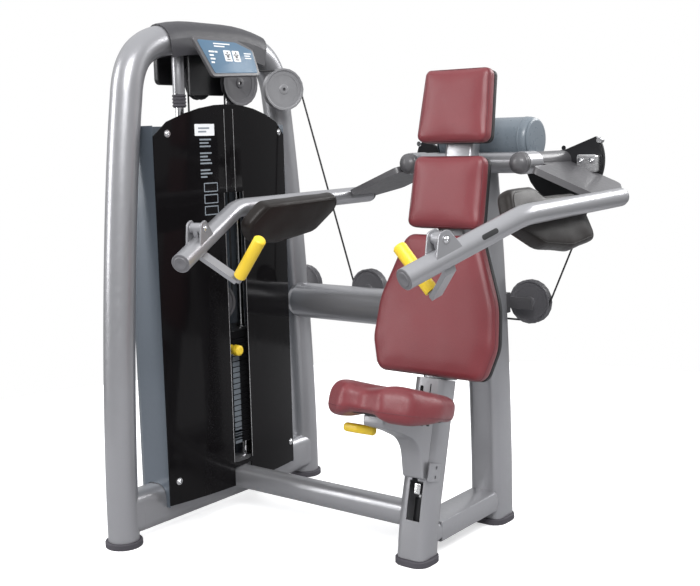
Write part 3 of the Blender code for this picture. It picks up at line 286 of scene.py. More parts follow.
def paper(name):
    """White studio paper: bright where it is looked at, duller for the light it throws back."""
    graph = Graph(name)
    seen = graph.add("ShaderNodeLightPath").outputs["Is Camera Ray"]
    fibres = graph.remap(graph.noise(180.0, 4.0), 0.0, 1.0)
    bright = graph.blend(fibres, (0.94, 0.94, 0.94), (0.97, 0.97, 0.97))
    glow = graph.add("ShaderNodeMath", operation="MULTIPLY")
    glow.inputs[1].default_value = FLOOR_GLOW
    graph.join(seen, glow.inputs[0])
    graph.join(glow.outputs[0], graph.shader.inputs["Emission Strength"])
    return graph.finish(graph.blend(seen, FLOOR_DULL, bright), graph.remap(fibres, 0.85, 0.95),
                        {"Emission Color": WHITE}, (graph.noise(300.0, 3.0), 0.0003, 0.2))


def vinyl(name, colour, rough, specular=0.5):
    """Upholstery vinyl: pebbled grain, soft creases, and painted shade that darkens the pores."""
    graph = Graph(name)
    pebbles = graph.cells(620.0)
    creases = graph.noise(46.0, 5.0, rough=0.62)
    drift = graph.remap(graph.noise(7.0, 3.0), 0.0, 1.0)
    body = graph.blend(drift, shade(colour, 0.97), shade(colour, 1.03))
    # painted shade: the colour falls to 0.62 of the body in the pores of the pebbled grain, where shade would
    # fall
    painted_pore_shade = graph.blend(graph.remap(pebbles, 0.0, 0.35, 0.35, 0.75), body, shade(colour, 0.62))
    uneven = graph.remap(graph.noise(34.0, 4.0), rough - 0.03, rough + 0.03)
    plain = {"Specular IOR Level": specular, "Sheen Weight": 0.20 * specular, "Sheen Roughness": 0.45,
             "Coat Weight": 0.08, "Coat Roughness": 0.35}
    return graph.finish(painted_pore_shade, uneven, plain, (creases, 0.0006, 0.16), (pebbles, 0.00035, 0.55))


def paint(name, colour, rough, metal):
    """Powder-coated steel with metal flake and a faint orange-peel skin."""
    graph = Graph(name)
    flakes = graph.remap(graph.cells(1500.0), 0.0, 1.0, 0.1, 0.6)
    drift = graph.remap(graph.noise(5.0, 3.0), 0.0, 1.0)
    base = graph.blend(drift, shade(colour, 0.96), shade(colour, 1.04))
    flecked = graph.blend(graph.remap(flakes, 0.0, 0.30, 0.3, 1.0), base, shade(colour, 1.16))
    uneven = graph.remap(graph.noise(90.0, 3.0), rough - 0.05, rough + 0.05)
    plain = {"Metallic": metal, "Coat Weight": 0.30, "Coat Roughness": 0.16}
    return graph.finish(flecked, uneven, plain, (graph.noise(420.0, 2.0), 0.00025, 0.30))


def gloss(name, colour):
    """Deep black lacquer with hairline scratches and a little dust in the gloss."""
    graph = Graph(name)
    dust = graph.remap(graph.noise(240.0, 6.0, rough=0.7), 0.0, 1.0, 0.50, 0.85)
    base = graph.blend(dust, colour, shade(colour, 1.5))
    scratches = graph.remap(graph.noise(60.0, 5.0, (1.0, 1.0, 0.12)), 0.045, 0.13)
    plain = {"Specular IOR Level": 0.15, "Coat Weight": 0.0}
    return graph.finish(base, scratches, plain, (graph.noise(9.0, 2.0), 0.0008, 0.10))


def brushed(name, colour, rough, stretch):
    """Turned or ground metal with fine lines across it."""
    graph = Graph(name)
    lines = graph.noise(60.0, 4.0, stretch)
    base = graph.blend(graph.remap(lines, 0.0, 1.0), shade(colour, 0.92), shade(colour, 1.05))
    uneven = graph.remap(lines, rough - 0.06, rough + 0.08)
    return graph.finish(base, uneven, {"Metallic": 1.0}, (lines, 0.0002, 0.25))


RECIPES = {         # how each slot's finish is made: colour, roughness and what the maker takes after them
    "silver_paint": (paint, (0.335, 0.335, 0.350), 0.33, 0.62),
    "dark_grey_paint": (paint, (0.088, 0.086, 0.091), 0.50, 0.15),
    "slate_paint": (paint, (0.105, 0.125, 0.150), 0.42, 0.30),
    "black_gloss_panel": (gloss, (0.0055, 0.0050, 0.0055)),
    "black_steel": (surface, (0.018, 0.018, 0.020), 0.42, 0.35, 0.15, (260.0, 0.0003, 0.4)),
    "slate_plastic": (surface, (0.165, 0.195, 0.225), 0.30, 0.0, 0.04, (500.0, 0.0002, 0.25)),
    "cover_plastic": (surface, (0.050, 0.049, 0.055), 0.46, 0.0, 0.05, None, (900.0, 0.0003, 0.5)),
    "pulley_plastic": (surface, (0.135, 0.133, 0.142), 0.40, 0.0, 0.06, (300.0, 0.0003, 0.3)),
    "pale_pulley_plastic": (surface, (0.27, 0.27, 0.28), 0.36, 0.30, 0.04, (300.0, 0.0003, 0.3)),
    "coated_cable": (surface, (0.020, 0.020, 0.021), 0.35, 0.0, 0.10, (700.0, 0.0003, 0.5)),
    "rubber": (surface, (0.060, 0.056, 0.066), 0.72, 0.0, 0.12, None, (700.0, 0.0004, 0.6)),
    "chrome": (brushed, (0.74, 0.74, 0.75), 0.14, (1.0, 1.0, 8.0)),
    "wine_upholstery": (vinyl, (0.185, 0.027, 0.034), 0.42),
    "dark_upholstery": (vinyl, (0.0110, 0.0078, 0.0064), 0.44, 0.25),
    "yellow_plastic": (surface, (0.86, 0.60, 0.035), 0.40, 0.0, 0.05, None, (520.0, 0.0004, 0.5)),
    "blue_sign": (surface, (0.078, 0.155, 0.240), 0.40, 0.0, 0.05, (300.0, 0.0002, 0.2)),
}
FINISH = {name: maker(name, *values) for name, (maker, *values) in RECIPES.items()}
WHITE_INK = surface("white_ink", (0.78, 0.79, 0.80), 0.5, mottle=0.03)
# near-black board behind the pads and the seat; the same finish is also painted shade inside the slots of the
# arm tubes and the gusset
BOARD_AND_SLOT_SHADE = surface("pad_board_and_slot_shade", (0.016, 0.016, 0.017), 0.55, grain=(240.0, 0.0003, 0.4))
STRIP_GREY = surface("strip_grey", (0.23, 0.26, 0.29), 0.4, mottle=0.08)
# bright steel for the cam clamps and the spring clevis; the same finish also draws the painted highlights along
# the shield's fold
BRIGHT_STEEL_AND_HIGHLIGHT = brushed("bright_steel_and_highlight", (0.80, 0.80, 0.80), 0.22, (1.0, 6.0, 1.0))
SEAM_THREAD = surface("seam_thread", (0.13, 0.030, 0.038), 0.6, mottle=0.10, grain=(900.0, 0.0003, 0.5))


# ---------------------------------------------------------------- shape helpers
def show(name, mesh, finish, body, *, place=None, slot=None, replaces=(), angle=35.0):
    """Add a piece that rides on a body; finish is a material or a slot's name."""
    item = linked(name, mesh)
    if place is not None:
        item.matrix_world = place
    mesh.materials.clear()
    mesh.materials.append(FINISH[finish] if isinstance(finish, str) else finish)
    if item.type == "MESH":
        mesh.shade_smooth()
        mesh.set_sharp_from_angle(angle=math.radians(angle))
    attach(item, body)
    if replaces:
        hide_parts(*replaces)
    return item


def along(axis, origin):
    made = Vector(axis).normalized().to_track_quat("Z", "Y").to_matrix().to_4x4()
    made.translation = Vector(origin)
    return made


TREES = {}
SKIN_ANGLE = 32.0


def tree_of(node):
    """Search tree over a CAD node's faces."""
    if node not in TREES:
        work = bmesh.new()
        work.from_mesh(NODES[node].data)
        TREES[node] = BVHTree.FromBMesh(work)
        work.free()
    return TREES[node]


def box_of(node):
    low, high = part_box(node)
    return Vector(low), Vector(high)


def skin(node, width=0.0012, segments=2):
    """The CAD node's own shape, welded, with softened edges and smooth shading."""
    work = bmesh.new()
    work.from_mesh(NODES[node].data)
    bmesh.ops.remove_doubles(work, verts=work.verts, dist=0.00002)
    bmesh.ops.dissolve_limit(work, angle_limit=math.radians(0.6), verts=work.verts, edges=work.edges)
    name = f"{node}_skin"
    item = show(name, mesh_of(work, name), SLOT_OF[node], BODY_OF[node], replaces=(node,), angle=SKIN_ANGLE)
    if width:
        added = item.modifiers.new("soft_edges", "BEVEL")
        added.width = width
        added.segments = segments
        added.limit_method = "ANGLE"
        added.angle_limit = math.radians(SKIN_ANGLE)
        added.use_clamp_overlap = True
        added.harden_normals = True


def turned_mesh(name, profile, steps=40):
    """Closed turned mesh from (radius, height) points, top to bottom."""
    work = bmesh.new()
    rings = []
    for radius, height in profile:
        if radius < 1e-6:
            rings.append([work.verts.new((0.0, 0.0, height))])
            continue
        rings.append([work.verts.new((radius * math.cos(2 * math.pi * i / steps),
                                      radius * math.sin(2 * math.pi * i / steps), height))
                      for i in range(steps)])
    for upper, lower in zip(rings, rings[1:]):
        for i in range(steps):
            j = (i + 1) % steps
            corners = [ring[k % len(ring)] for ring, k in ((upper, i), (lower, i), (lower, j), (upper, j))]
            unique = list(dict.fromkeys(corners))
            if len(unique) > 2:
                work.faces.new(unique)
    bmesh.ops.recalc_face_normals(work, faces=work.faces)
    return mesh_of(work, name)


def turned(name, profile, axis, origin, finish, body, steps=40, slot=None, replaces=()):
    return show(name, turned_mesh(name, profile, steps), finish, body, place=along(axis, origin), slot=slot,
                replaces=replaces)


def applied(item):
    """Mesh of a draft object with everything on it applied; the draft goes."""
    bpy.context.view_layer.update()
    graph = bpy.context.evaluated_depsgraph_get()
    mesh = bpy.data.meshes.new_from_object(item.evaluated_get(graph))
    bpy.data.objects.remove(item)
    return mesh


def curve_mesh(data):
    mesh = applied(linked("draft", data))
    work = bmesh.new()
    work.from_mesh(mesh)
    bmesh.ops.remove_doubles(work, verts=work.verts, dist=0.00002)
    bmesh.ops.recalc_face_normals(work, faces=work.faces)
    work.to_mesh(mesh)
    work.free()
    return mesh


def line_mesh(points, radius, closed=False, sides=3):
    data = bpy.data.curves.new("line", "CURVE")
    data.dimensions = "3D"
    line = data.splines.new("POLY")
    line.points.add(len(points) - 1)
    for point, place in zip(line.points, points):
        point.co = (*place, 1.0)
    line.use_cyclic_u = closed
    data.bevel_depth = radius
    data.bevel_resolution = sides
    data.use_fill_caps = True
    return curve_mesh(data)


def slab_mesh(outlines, thickness, edge=0.0, steps=2):
    """Flat shape through the outlines, its outer corners rounded by edge; outlines keep their size."""
    data = bpy.data.curves.new("slab", "CURVE")
    data.dimensions = "2D"
    data.fill_mode = "BOTH"
    for outline in outlines:
        line = data.splines.new("POLY")
        line.points.add(len(outline) - 1)
        for point, (x, y) in zip(line.points, outline):
            point.co = (x, y, 0.0, 1.0)
        line.use_cyclic_u = True
    data.extrude = max(thickness / 2.0 - edge, 0.0)
    data.bevel_depth = edge
    data.bevel_resolution = steps
    data.offset = -edge
    return curve_mesh(data)


def rounded(corners, radii, steps=6):
    """Outline through the corners, each rounded with its own arc."""
    count = len(corners)
    outline = []
    for index, corner in enumerate(corners):
        here = Vector(corner)
        radius = radii[index] if isinstance(radii, (list, tuple)) else radii
        before = (Vector(corners[index - 1]) - here).normalized()
        after = (Vector(corners[(index + 1) % count]) - here).normalized()
        if radius <= 0.0:
            outline.append(tuple(here))
            continue
        half = before.angle(after) / 2.0
        reach = radius / math.tan(half)
        centre = here + (before + after).normalized() * (radius / math.sin(half))
        start = here + before * reach - centre
        end = here + after * reach - centre
        sweep = start.angle_signed(end)
        for step in range(steps + 1):
            spoke = start.copy()
            spoke.rotate(Matrix.Rotation(-sweep * step / steps, 2))
            outline.append(tuple(centre + spoke))
    return outline


def rectangle(width, height, radius, centre=(0.0, 0.0), steps=5):
    x, y = centre
    w, h = width / 2.0, height / 2.0
    return rounded([(x + w, y + h), (x - w, y + h), (x - w, y - h), (x + w, y - h)], radius, steps)


def plate(name, outlines, cut, finish, body, place, **more):
    """Flat piece; cut is its thickness, then the radius and steps of its rounded edge."""
    return show(name, slab_mesh(outlines, *cut), finish, body, place=place, **more)


def bolt(name, place, axis, radius, body, finish="chrome", height=None):
    """Domed bolt with a socket in its head and a washer under it."""
    height = height or radius * 0.55
    profile = [(0.0, height * 0.35), (radius * 0.36, height * 0.35), (radius * 0.42, height * 0.98)]
    profile += [(radius * math.sin(a), height * math.cos(a)) for a in (0.55, 0.9, 1.2, 1.45)]
    profile += [(radius, 0.0010), (radius * 1.35, 0.0010), (radius * 1.35, 0.0), (0.0, 0.0)]
    return turned(name, profile, axis, place, finish, body, 24, slot="chrome")


# ---------------------------------------------------------------- upholstery
PAD_SLOPE = 0.2057            # the pads' front lies at y = PAD_FOOT + PAD_SLOPE * (z - PAD_LEVEL)
PAD_FOOT = 0.1885
PAD_LEVEL = 1.15
PAD_UP = Vector((0.0, PAD_SLOPE, 1.0)).normalized()
PAD_OUT = Vector((0.0, -1.0, PAD_SLOPE)).normalized()
PAD_THICK = 0.050
BOARD_THICK = 0.008
# lowest and highest z; rows of half width, share of the half height and corner radius
BACK_PADS = {
    "head_pad": (1.136, 1.338, [(0.115, -1.0, 0.022), (0.105, 1.0, 0.020)]),
    "upper_back_pad": (0.904, 1.102, [(0.118, -1.0, 0.022), (0.114, 1.0, 0.024)]),
    "lower_back_pad": (0.505, 0.890, [(0.172, -1.0, 0.036), (0.200, -0.52, 0.10), (0.190, 0.06, 0.20),
                                      (0.118, 1.0, 0.044)]),
}
VOXEL = 0.0052
CLOTH_FRAMES = 20
CLOTH = {"quality": 5, "vertex_group_mass": "held", "use_pressure": True, "uniform_pressure_force": 4.0,
         "tension_stiffness": 18.0, "compression_stiffness": 8.0, "bending_stiffness": 1.2}
SEAM_START = 0.08


def remeshed(name, mesh, voxel=VOXEL):
    """Even quads over a closed mesh."""
    item = linked(name, mesh)
    added = item.modifiers.new("even", "REMESH")
    added.mode = "VOXEL"
    added.voxel_size = voxel
    eased = item.modifiers.new("eased", "SMOOTH")
    eased.factor = 0.5
    eased.iterations = 3
    return applied(item)


def inflate(item, pinned, limit, rounds):
    """Blow the cover up by cloth simulation; pinned says which points stay, limit caps the movement."""
    mesh = item.data
    start = [vertex.co.copy() for vertex in mesh.vertices]
    group = item.vertex_groups.new(name="held")
    for vertex in mesh.vertices:
        weight = pinned(vertex.co)
        if weight > 0.0:
            group.add([vertex.index], weight, "REPLACE")
    cloth = item.modifiers.new("cover", "CLOTH")
    for key, value in CLOTH.items():
        setattr(cloth.settings, key, value)
    cloth.settings.effector_weights.gravity = 0.0
    cloth.collision_settings.use_collision = False
    cloth.collision_settings.use_self_collision = False
    cloth.point_cache.frame_start = 1
    cloth.point_cache.frame_end = CLOTH_FRAMES
    scene = bpy.context.scene
    for number in range(1, CLOTH_FRAMES + 1):
        scene.frame_set(number)
    shape = item.evaluated_get(bpy.context.evaluated_depsgraph_get()).data
    shifts = [after.co - before for before, after in zip(start, shape.vertices)]
    item.modifiers.remove(cloth)
    scene.frame_set(1)
    shifts = [shift * min(1.0, limit / max(shift.length, 1e-9)) for shift in shifts]
    for vertex, before, shift in zip(mesh.vertices, start, eased_shifts(mesh, shifts, rounds)):
        vertex.co = before + shift


def eased_shifts(mesh, shifts, rounds):
    """Spread each point's movement over its neighbours, so that taut vinyl keeps only broad waves."""
    for _ in range(rounds):
        totals = [shift.copy() for shift in shifts]
        counts = [1] * len(shifts)
        for edge in mesh.edges:
            first, second = edge.vertices
            totals[first] += shifts[second]
            totals[second] += shifts[first]
            counts[first] += 1
            counts[second] += 1
        shifts = [total / count for total, count in zip(totals, counts)]
    return shifts


def softened(item):
    added = item.modifiers.new("fine", "SUBSURF")
    added.levels = 1
    added.render_levels = 1


def pad_outline(low, high, rows, inset=0.0):
    half = (high - low) / 2.0 / PAD_UP.z - inset
    right = [(width - inset, share * half) for width, share, _ in rows]
    left = [(-x, y) for x, y in reversed(right)]
    radii = [max(radius - inset, 0.006) for _, _, radius in rows]
    return rounded(right + left, radii + radii[::-1], 8)


def pad_place(z):
    front = Vector((0.0, PAD_FOOT + PAD_SLOPE * (z - PAD_LEVEL), z))
    return frame_at(front - PAD_OUT * (PAD_THICK / 2.0), (1, 0, 0), PAD_UP, PAD_OUT)


def laid_on(item, rays):
    """Where the (start, direction) rays, given in the cushion's own axes, meet it."""
    bpy.context.view_layer.update()
    tree = BVHTree.FromObject(item, bpy.context.evaluated_depsgraph_get())
    hits = [tree.ray_cast(start, direction)[0] for start, direction in rays]
    return [hit for hit in hits if hit is not None]


def thread(name, points, radius, finish, body, place):
    show(name, line_mesh(points, radius, closed=True), finish, body, place=place, slot="wine_upholstery",
         angle=80.0)


def seam_on(name, item, outline, way, body, radius, finish):
    """Thin stitched piping pressed onto a cushion's face from above (way 1) or below (way -1)."""
    direction = Vector((0.0, 0.0, -way))
    hits = laid_on(item, [(Vector((x, y, way * SEAM_START)), direction) for x, y in outline])
    laid = [hit - direction * radius * 0.15 for hit in hits]
    if len(laid) > 3:
        thread(name, laid, radius, finish, body, item.matrix_world.copy())


def wrinkle(mesh, strength, scale, mask):
    """Push points along their normals by a directional noise, where the mask allows."""
    mesh.update()
    for vertex in mesh.vertices:
        amount = mask(vertex.co)
        if amount > 0.0:
            place = Vector([reach * share for reach, share in zip(vertex.co, scale)])
            vertex.co += vertex.normal * noise.noise(place) * strength * amount


def build_back_pads():
    back = -PAD_THICK / 2.0 + BOARD_THICK
    for name, (low, high, rows) in BACK_PADS.items():
        place = pad_place((low + high) / 2.0)
        outline = pad_outline(low, high, rows, 0.0005)
        cover = remeshed(name, slab_mesh([outline], PAD_THICK - BOARD_THICK, 0.015, 4))
        for vertex in cover.vertices:
            vertex.co.z += BOARD_THICK / 2.0
        item = show(f"{name}_cushion", cover, "wine_upholstery", "frame", place=place, replaces=(name,),
                    angle=70.0)
        inflate(item, lambda p: 1.0 if p.z < back + 0.012 else 0.0, 0.0050, 22)
        wrinkle(item.data, 0.0007, (16.0, 16.0, 16.0), lambda p: 1.0 if p.z > back + 0.006 else 0.0)
        softened(item)
        seam_on(f"{name}_seam", item, pad_outline(low, high, rows, 0.0045), 1, "frame", 0.0009, SEAM_THREAD)
        behind = place @ Matrix.Translation((0, 0, back - BOARD_THICK / 2.0 + 0.001))
        plate(f"{name}_board", [pad_outline(low, high, rows, 0.003)], (BOARD_THICK + 0.004, 0.001, 1), BOARD_AND_SLOT_SHADE,
              "frame", behind, slot="black_steel")


POST_SLOPE = 0.255            # y per z of the straight part of the seat post
POST_KINK = (0.034, 0.200)
POST_UP = Vector((0.0, POST_SLOPE, 1.0)).normalized()
POST_OUT = Vector((0.0, -1.0, POST_SLOPE)).normalized()


def post_line(z):
    return Vector((0.0, POST_KINK[0] + POST_SLOPE * (z - POST_KINK[1]), z))


SEAT_ORIGIN = post_line(0.373) + POST_OUT * 0.045
SEAT_OUTLINE = [(0.075, 0.022), (0.148, 0.060), (0.160, 0.165), (0.134, 0.262), (0.062, 0.308), (0.0, 0.284)]
SEAT_RADII = [0.03, 0.06, 0.12, 0.045, 0.03, 0.04]
SEAT_THICK = 0.070
SEAT_LOW = 0.0125
SEAT_FOAM = SEAT_THICK - 0.004


def seat_frame():
    """X across, Y forward and Z up from the seat's origin, tilted with the post."""
    return frame_at(SEAT_ORIGIN, (-1, 0, 0), POST_OUT, POST_UP)


def seat_outline(inset=0.0):
    corners = [(x - inset * (1 if x > 0 else 0), y + (inset if y < 0.1 else -inset)) for x, y in SEAT_OUTLINE]
    mirror = [(-x, y) for x, y in reversed(corners[:-1])]
    radii = SEAT_RADII + list(reversed(SEAT_RADII[:-1]))
    return rounded(corners + mirror, radii, 7)


def ramp(value, start, length):
    """0 before the start, 1 past the length, straight between."""
    return max(0.0, min(1.0, (value - start) / length))


def saddle(x, forward):
    """How far the seat's top stands above its slab."""
    lobe = math.exp(-((abs(x) - 0.085) / 0.068) ** 2) * ramp(forward, 0.120, 0.130)
    dip = math.exp(-(x / 0.050) ** 2) * ramp(forward, 0.10, 0.14)
    fall = max(0.0, (0.120 - forward) / 0.120)
    return 0.009 * lobe - 0.003 * dip - 0.008 * fall


def droop(x, forward):
    """How far the front lobes hang below the slab, on both sides of the gusset."""
    beside = ramp(abs(x), 0.036, 0.040)
    ahead = ramp(forward, 0.110, 0.130)
    return 0.016 * beside * ahead * ahead * (3.0 - 2.0 * ahead)


def build_seat():
    cover = remeshed("seat_cover", slab_mesh([seat_outline(0.001)], SEAT_FOAM, 0.024, 6), 0.0056)
    low = SEAT_LOW + 0.001
    for vertex in cover.vertices:
        vertex.co.z += low + SEAT_FOAM / 2.0
        share = ramp(vertex.co.z, low, SEAT_FOAM)
        vertex.co.z += saddle(vertex.co.x, vertex.co.y) * share
        vertex.co.z -= droop(vertex.co.x, vertex.co.y) * (1.0 - share)
    item = show("seat_cushion", cover, "wine_upholstery", "seat", place=seat_frame(), replaces=("seat_pad",),
                angle=70.0)
    inflate(item, lambda p: 1.0 if p.z < low + 0.008 else 0.0, 0.005, 8)

    def folds(point):
        near = math.exp(-(point.x / 0.045) ** 2 - ((point.y - 0.235) / 0.060) ** 2)
        return 0.35 + 1.6 * near

    wrinkle(item.data, 0.0020, (34.0, 13.0, 20.0), folds)
    softened(item)
    centre = Vector((0.0, 0.165, low + 0.012))
    rays = []
    for x, y in seat_outline(-0.012):
        rim = Vector((x * 1.04, y, low + 0.010))
        start = rim + (rim - centre).normalized() * 0.03
        rays.append((start, (centre - start).normalized()))
    laid = laid_on(item, rays)
    if len(laid) > 6:
        thread("seat_piping", laid, 0.0009, SEAM_THREAD, "seat", seat_frame())
    plate("seat_board", [seat_outline(0.030)], (0.009, 0.001, 1), BOARD_AND_SLOT_SHADE, "seat",
          seat_frame() @ Matrix.Translation((0, 0, SEAT_LOW + 0.0030)), slot="black_steel")


ELBOW_OUTLINE = {             # seen from outside: distance back along the arm, height
    "left": [(-0.160, 0.113), (0.140, 0.122), (0.166, 0.088), (0.085, 0.008), (-0.060, -0.014),
             (-0.175, -0.004), (-0.215, 0.050)],
    "right": [(-0.180, 0.148), (-0.060, 0.150), (-0.020, 0.122), (0.140, 0.120), (0.168, 0.100),
              (0.172, -0.010), (0.030, -0.024), (-0.110, -0.004), (-0.215, 0.060)],
}
ELBOW_RADII = {
    "left": [0.03, 0.02, 0.03, 0.05, 0.05, 0.04, 0.03],
    "right": [0.03, 0.02, 0.03, 0.02, 0.02, 0.022, 0.06, 0.07, 0.03],
}
ELBOW_SHIFT = {"left": -0.030, "right": 0.055}
ELBOW_THICK = 0.042


def elbow_frame(side):
    way = SIDES[side]
    rise = Vector((way * -0.050, 0.0, 0.112)).normalized()
    return frame_at((way * 0.398, ELBOW_SHIFT[side], 0.885), (0, 1, 0), rise, Vector((0, 1, 0)).cross(rise))


def build_elbow_pads():
    for side in SIDES:
        body = f"arm_{side}"
        corners, radii = ELBOW_OUTLINE[side], ELBOW_RADII[side]
        block = slab_mesh([rounded(corners, radii, 7)], ELBOW_THICK - 0.001, 0.013, 4)
        cover = remeshed(f"elbow_{side}", block, 0.0048)
        item = show(f"elbow_cushion_{side}", cover, "dark_upholstery", body, place=elbow_frame(side),
                    replaces=(f"elbow_pad_{side}",), angle=70.0)
        inflate(item, lambda p: 1.0 if abs(p.z) < 0.007 else 0.0, 0.0035, 16)
        wrinkle(item.data, 0.0014, (16.0, 26.0, 20.0), lambda p: 1.0)
        softened(item)
        rim = rounded([(x * 0.93, y * 0.86 + 0.008) for x, y in corners], radii, 5)
        for name, way in (("outer", 1), ("inner", -1)):
            seam_on(f"elbow_seam_{name}_{side}", item, rim, way, body, 0.0010, FINISH["dark_upholstery"])


# ---------------------------------------------------------------- tower dressing
TOWER_X = -0.771
TOWER_Y = 0.040
ROD_Y = (-0.074, 0.155)
FALLS = {"right": (-0.800, -0.008), "left": (-0.742, 0.088)}
LOOP_TOPS = {"right": 1.3348, "left": 1.3268}
LOOP_SPLIT = 0.657
SHIELD_Y = 0.036
PLATE_PITCH = 0.0176
BOARD_CENTRE = Vector((TOWER_X + 0.112, TOWER_Y, 1.392))
BOARD_TILT = 18.0
LEG_KNOTS = [          # handle before, knot and handle after, each as distance from the middle and height
    ((0.411, -0.20), (0.411, 0.0183), (0.411, 0.45)),
    ((0.362, 1.000), (0.318, 1.280), (0.300, 1.430)),
    ((0.220, 1.455), (0.0003, 1.455), (-0.2, 1.455)),
]
FACING_FRONT = ((1, 0, 0), (0, 0, 1), (0, -1, 0))   # axes of a flat shape that faces the machine's front
FACING_X = ((0, 1, 0), (0, 0, 1), (1, 0, 0))      # axes of a flat shape that faces the tower's front


def build_uprights():
    """The two bent legs of the arch as finely turned tube."""
    for node, way in (("tower_upright_front", -1), ("tower_upright_rear", 1)):
        data = bpy.data.curves.new(node, "CURVE")
        data.dimensions = "3D"
        line = data.splines.new("BEZIER")
        line.bezier_points.add(len(LEG_KNOTS) - 1)
        for point, knot in zip(line.bezier_points, LEG_KNOTS):
            point.handle_left_type = point.handle_right_type = "FREE"
            places = [(TOWER_X, TOWER_Y + way * out, up) for out, up in knot]
            point.handle_left, point.co, point.handle_right = places
        data.resolution_u = 40
        data.bevel_depth = 0.045
        data.bevel_resolution = 12
        data.use_fill_caps = True
        show(f"{node}_tube", curve_mesh(data), "silver_paint", "frame", replaces=(node,), angle=50.0)


def text_bars(rows, width, height, left, top):
    """Rows of short printed bars standing for small print; rows are lists of (start, length) shares."""
    made = []
    step = height / max(len(rows), 1)
    for index, row in enumerate(rows):
        y = top - step * (index + 0.5)
        for start, length in row:
            x = left + width * (start + length / 2.0)
            made.append(rectangle(width * length, step * 0.46, step * 0.08, (x, y), 2))
    return made


def printed(name, outlines, place, body, finish=None, thick=0.0005, slot="blue_sign"):
    return plate(name, outlines, (thick,), finish or WHITE_INK, body, place, slot=slot)


def build_sign():
    """Placard with a dark rim, rows of bars for print and two plain figures."""
    turn = Matrix.Rotation(math.radians(-BOARD_TILT), 4, "Y")
    place = Matrix.Translation(BOARD_CENTRE) @ turn @ frame_at((0, 0, 0), *FACING_X)
    outline = rounded([(0.100, -0.050), (0.098, 0.032), (0.030, 0.060), (-0.150, 0.062), (-0.104, -0.060)],
                      [0.010, 0.016, 0.030, 0.010, 0.014], 5)
    plate("sign_frame", [outline], (0.010, 0.0015, 2), "dark_grey_paint", "frame", place,
          replaces=("instruction_board",))
    face = rounded([(0.090, -0.042), (0.090, 0.027), (0.026, 0.050), (-0.134, 0.052), (-0.094, -0.050)],
                   [0.006, 0.012, 0.026, 0.006, 0.008], 5)
    plate("sign_face", [face], (0.0016, 0.0004, 1), "blue_sign", "frame",
          place @ Matrix.Translation((0, 0, 0.0056)))
    bars = text_bars([[(0.0, 0.62)], [(0.0, 0.40)]], 0.11, 0.016, -0.070, 0.046)
    bars += text_bars([[(0.0, 0.35), (0.40, 0.20)], [(0.0, 0.28)], [(0.0, 0.33)], [(0.0, 0.22)]],
                      0.060, 0.044, -0.098, 0.022)
    bars += text_bars([[(0.0, 0.9)], [(0.0, 0.7)], [(0.0, 0.8)]], 0.034, 0.022, 0.050, 0.020)
    on_face = place @ Matrix.Translation((0, 0, 0.0066))
    printed("sign_text", bars, on_face, "frame")
    middles = [-0.022 + 0.036 * n for n in range(2)]
    cards = [rectangle(0.030, 0.034, 0.003, (x, 0.006), 3) for x in middles]
    printed("sign_pictures", cards, on_face, "frame")
    for n, x in enumerate(middles):
        figure = [rectangle(0.006, 0.006, 0.0029, (x, 0.016), 4),
                  rectangle(0.010, 0.011, 0.003, (x, 0.005), 3),
                  rectangle(0.021, 0.003, 0.001, (x, 0.010), 2),
                  rectangle(0.014, 0.003, 0.001, (x, -0.005), 2)]
        printed(f"sign_figure_{n}", figure, place @ Matrix.Translation((0, 0, 0.0071)), "frame",
                FINISH["dark_grey_paint"])


def build_shield_bolts():
    for reach, z in ((0.241, 1.177), (0.254, 0.1635)):
        for way in (-1, 1):
            y = SHIELD_Y + way * reach
            spot, normal = shield_point(y, z)
            name = f"shield_bolt_{int(y * 1000)}_{int(z * 1000)}".replace("-", "m")
            bolt(name, spot, normal, 0.0078, "frame", "chrome", 0.005)


def shield_point(y, z):
    """Point on the shield's front and its outward normal."""
    hit, normal = tree_of("front_shield").ray_cast(Vector((-0.2, y, z)), Vector((-1, 0, 0)))[:2]
    if hit is None:
        return Vector((-0.70, y, z)), Vector((1, 0, 0))
    if normal.x < 0:
        normal = -normal
    return hit, normal


def on_shield(name, outlines, centre, finish, lift=0.0004):
    point, normal = shield_point(*centre)
    side = UP.cross(normal).normalized()
    place = frame_at(point + normal * lift, side, normal.cross(side), normal)
    return printed(name, outlines, place, "frame", finish, 0.0004, "black_gloss_panel")


def build_shield_print():
    """Plain block, rows of bars and three frames where the labels sit."""
    on_shield("label_block", [rectangle(0.074, 0.034, 0.002, (0, 0), 3)], (-0.072, 1.186), WHITE_INK)
    bars = text_bars([[(0.1, 0.7)], [(0.1, 0.5)]], 0.060, 0.020, -0.030, 0.010)
    on_shield("label_block_text", bars, (-0.072, 1.186), STRIP_GREY, 0.0009)
    lengths = (0.9, 0.7, 0.85, None, 0.9, 0.6, 0.8, 0.9, None, 0.75, 0.9, 0.5)
    lines = text_bars([[(0.0, length)] if length else [] for length in lengths], 0.050, 0.118, -0.025, 0.059)
    on_shield("label_lines", lines, (-0.068, 1.104), STRIP_GREY)
    for n in range(3):
        z = 1.019 - 0.034 * n
        on_shield(f"label_box_{n}", [rectangle(0.054, 0.027, 0.002, (0, 0), 3)], (-0.056, z), STRIP_GREY)
        on_shield(f"label_box_face_{n}", [rectangle(0.048, 0.021, 0.001, (0, 0), 3)], (-0.056, z),
                  FINISH["black_gloss_panel"], 0.0009)


def build_stack_marks():
    """Blank blocks for the plates' numbers, down the stack and on the plates that rise."""
    for name, node, count, body in (("stack_strip", "weight_stack", 17, "frame"),
                                    ("stack_strip_top", "lifted_plates", 2, "stack")):
        low, high = box_of(node)
        place = frame_at((high.x + 0.0006, 0.038, 0.0), *FACING_X)
        blocks = [rectangle(0.030, PLATE_PITCH - 0.0030, 0.0012, (0.030, low.z + PLATE_PITCH * (n + 0.5)), 2)
                  for n in range(count)]
        printed(name, blocks, place, body, STRIP_GREY, 0.0008, "black_steel")


